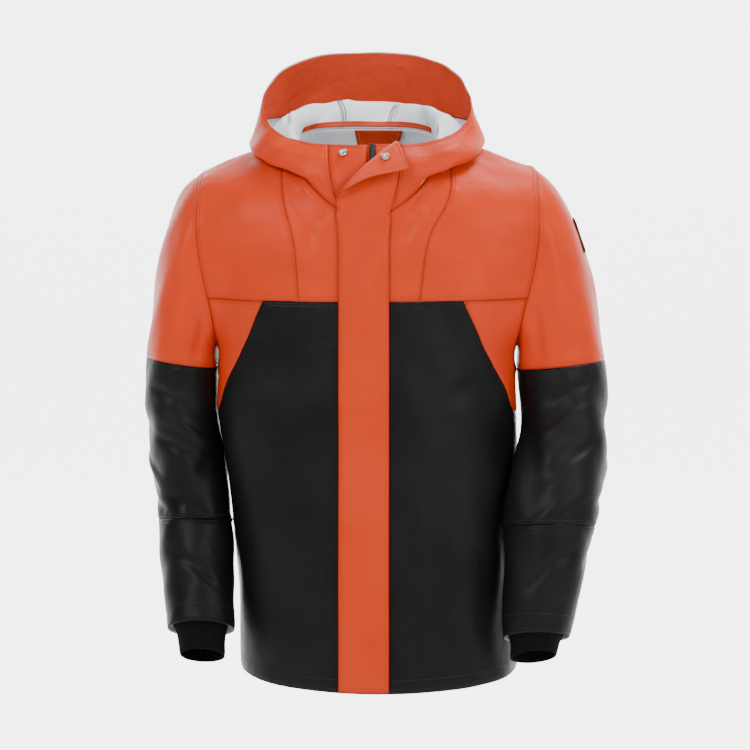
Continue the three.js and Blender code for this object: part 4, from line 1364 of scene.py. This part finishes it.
@dataclass
class Placket(Assembly):
    """The storm flap with its turned-back top, the zip below it and the press studs."""

    tooth: tuple[float, float, float] = (3.4, 1.7, 0.35)  # across, along and high, in millimetres
    bare_tooth: tuple[float, float, float] = (7.5, 2.1, 2.0)  # where the flap leaves the zip bare
    bare_from: float = -62.0  # the height above which it does
    beyond: float = 8.0  # how far the teeth run past the end of the tape
    pitch: float = 3.1  # between the teeth of one side
    apart: float = 0.9  # how far the teeth of a side stand from the middle of the zip

    def reliefs(self) -> tuple[Relief, ...]:
        """Returns the folds of the flap, which are those of the body below it."""
        return (
            *BODY_FOLDS,
            Fold(Side.FRONT, ((-36, -300), (0, -312), (28, -306)), 18, 1.2),
            Fold(Side.FRONT, ((-36, -560), (0, -548), (28, -556)), 22, 1.2),
        )

    def cuts(self) -> tuple[Cut, ...]:
        """Returns the flap."""
        rows = (Row(Edge.RIGHT, 3.5), Row(Edge.LEFT, 2.5), Row(Edge.LEFT, 7.5), Row(Edge.LOW, 6))
        return (Cut("storm_flap", (0, -1, -0.5), (0.073, 0.77), 0.056, rows, lined=False, cloth=2.2),)

    def build(self) -> None:
        """Makes the flap, the zip's teeth and the studs."""
        super().build()
        self.zip()
        for node, core in (("snap_stud", self.finishes.steel), ("snap_socket", self.finishes.brass)):
            self.stud(node, core)

    def zip(self) -> None:
        """Dresses the zip's tape and sets its teeth along it."""
        node = self.nodes["zip"]
        node.data.materials.clear()
        node.data.materials.append(self.finishes.tape)
        points = np.array([v.co for v in node.data.vertices]) / MM
        levels = np.unique(np.round(points[:, 2] / 4)) * 4
        rows = [points[np.abs(points[:, 2] - level) < 2.01] for level in levels]
        full = [row for row in rows if len(row) > 3]
        spine = np.array([[row[:, 0].mean(), row[:, 1].min(), row[:, 2].mean()] for row in full])
        spine = spine[np.argsort(spine[:, 2])]
        end = spine[-1] - spine[-2]
        spine = np.vstack([spine, spine[-1] + end / np.linalg.norm(end) * self.beyond])
        verts: list[Vector] = []
        faces: list[tuple[int, ...]] = []
        for i, (start, _) in enumerate(dashes(spine, self.pitch / 2, 0.1)):
            side = 1 if i % 2 else -1
            wide, long, high = self.bare_tooth if start[2] > self.bare_from else self.tooth
            x, y, z = start[0] - wide / 2 + side * self.apart, start[1] - high, start[2] - long / 2
            base = len(verts)
            for c in (0, 1):
                for b in (0, 1):
                    up = c * 0.8 + 0.1 * (1 - 2 * c) * (1 - b)  # narrower at its outer end
                    verts += [Vector((x + wide * a, y + high * b, z + long * up)) * MM for a in (0, 1)]
            faces += [tuple(base + k for k in face) for face in BOX]
        make_piece("zip_teeth", verts, faces, self.finishes.plastic)

    def stud(self, name: str, core: bpy.types.Material) -> None:
        """Dresses one half of the press stud and adds its rolled ring.

        Args:
            name: the stud's node.
            core: the finish of its middle.
        """
        node = self.nodes[name]
        node.data.materials.clear()
        node.data.materials.append(self.finishes.steel)
        points = np.array([v.co for v in node.data.vertices]) / MM
        middle = points.mean(axis=0)
        _, _, axes = np.linalg.svd(points - middle, full_matrices=False)
        way = axes[2] if axes[2][1] < 0 else -axes[2]
        top = ((points - middle) @ way).max()
        facing = Vector((0, 0, 1)).rotation_difference(Vector(way)).to_matrix().to_4x4()
        turn = Matrix.Translation(middle + way * top) @ facing
        steps = 32
        verts = [
            turn @ Vector((r * math.cos(a), r * math.sin(a), h)) * MM
            for r, h in STUD_PROFILE
            for a in (2 * math.pi * k / steps for k in range(steps))
        ]
        faces = []
        for start in range(0, steps * (len(STUD_PROFILE) - 1), steps):
            for k in range(steps):
                n = (k + 1) % steps
                faces.append((start + k, start + n, start + steps + n, start + steps + k))
        make_piece(name + "_core", verts, faces, core)


# The studio


@dataclass(frozen=True)
class Lamp:
    """A soft area lamp aimed at the coat."""

    name: str
    place: tuple[float, float, float]
    size: float
    power: float


@dataclass
class Studio:
    """The camera, the pale floor and the soft light."""

    target: Vector = field(default_factory=lambda: Vector((0.0115, 0.0, -0.353)))
    distance: float = 3.3
    elevation: float = 4.0
    lens: float = 110.0
    floor: float = -1.4
    world: float = 0.45
    lamps: tuple[Lamp, ...] = (
        Lamp("key", (-1.5, -2.7, 1.5), 1.3, 84.0),
        Lamp("fill", (2.1, -2.4, 0.8), 1.6, 54.0),
        Lamp("top", (0.9, 0.1, 1.9), 0.9, 62.0),
        Lamp("rear", (-0.6, 2.4, 1.4), 1.6, 12.0),
    )

    def build(self) -> None:
        """Makes the camera first, then the floor, the world and the lamps."""
        self.camera()
        self.ground()
        self.light()

    def camera(self) -> None:
        """Sets the camera at the photograph's angle, for an image of 750 by 750."""
        tilt = math.radians(self.elevation)
        data = bpy.data.cameras.new("camera")
        data.lens = self.lens
        data.sensor_width = 36.0
        data.clip_end = 50.0
        camera = bpy.data.objects.new("camera", data)
        camera.location = self.target - Vector((0, math.cos(tilt), -math.sin(tilt))) * self.distance
        camera.rotation_euler = (math.pi / 2 - tilt, 0, 0)
        bpy.context.scene.collection.objects.link(camera)
        bpy.context.scene.camera = camera

    def ground(self) -> None:
        """Makes a pale floor that curves up behind the coat."""
        wide, near, far, curve, high = 9.0, -7.0, 3.5, 2.0, 6.0
        profile = [(near, self.floor), (far, self.floor)]
        profile += [
            (far + curve * math.sin(a), self.floor + curve * (1 - math.cos(a)))
            for a in (math.pi / 2 * k / 16 for k in range(1, 17))
        ]
        profile.append((far + curve, high))
        verts = [Vector((x, y, z)) for y, z in profile for x in (-wide, wide)]
        faces = [(2 * i, 2 * i + 1, 2 * i + 3, 2 * i + 2) for i in range(len(profile) - 1)]
        mesh = bpy.data.meshes.new("studio_floor")
        mesh.from_pydata([tuple(v) for v in verts], [], faces)
        mesh.materials.append(PaleFloor().build())
        mesh.shade_smooth()
        floor = bpy.data.objects.new("studio_floor", mesh)
        bpy.context.scene.collection.objects.link(floor)

    def light(self) -> None:
        """Sets the world and the lamps."""
        world = bpy.data.worlds.new("studio")
        world.use_nodes = True
        background = world.node_tree.nodes["Background"]
        background.inputs["Color"].default_value = (1.0, 1.0, 1.0, 1.0)
        background.inputs["Strength"].default_value = self.world
        bpy.context.scene.world = world
        for lamp in self.lamps:
            data = bpy.data.lights.new(lamp.name, "AREA")
            data.size = lamp.size
            data.energy = lamp.power
            light = bpy.data.objects.new(lamp.name, data)
            light.location = lamp.place
            light.rotation_euler = (self.target - light.location).to_track_quat("-Z", "Y").to_euler()
            bpy.context.scene.collection.objects.link(light)


def corners(bounds: tuple[Vector, Vector]) -> list[list[float]]:
    """Returns a box as plain lists of numbers."""
    return [[float(value) for value in corner] for corner in bounds]


def main() -> None:
    """Builds the coat on its CAD frame, and the studio round it."""
    logging.basicConfig(level=logging.INFO, format="%(message)s")
    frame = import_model()
    Studio().build()
    finishes = Finishes.build()
    nodes = frame["nodes"]
    parts: tuple[Assembly, ...] = (
        Body(nodes, finishes),
        Sleeve(nodes, finishes, side="right"),
        Sleeve(nodes, finishes, side="left"),
        Hood(nodes, finishes, pucker=0.25),
        Placket(nodes, finishes, pucker=0.2),
    )
    for part in parts:
        part.cut_out()
    edges = [part.edges() for part in parts]
    for number, part in enumerate(parts):
        part.hold(edges[:number] + edges[number + 1 :])
    for part in parts:
        part.build()


if __name__ == "__main__":
    main()
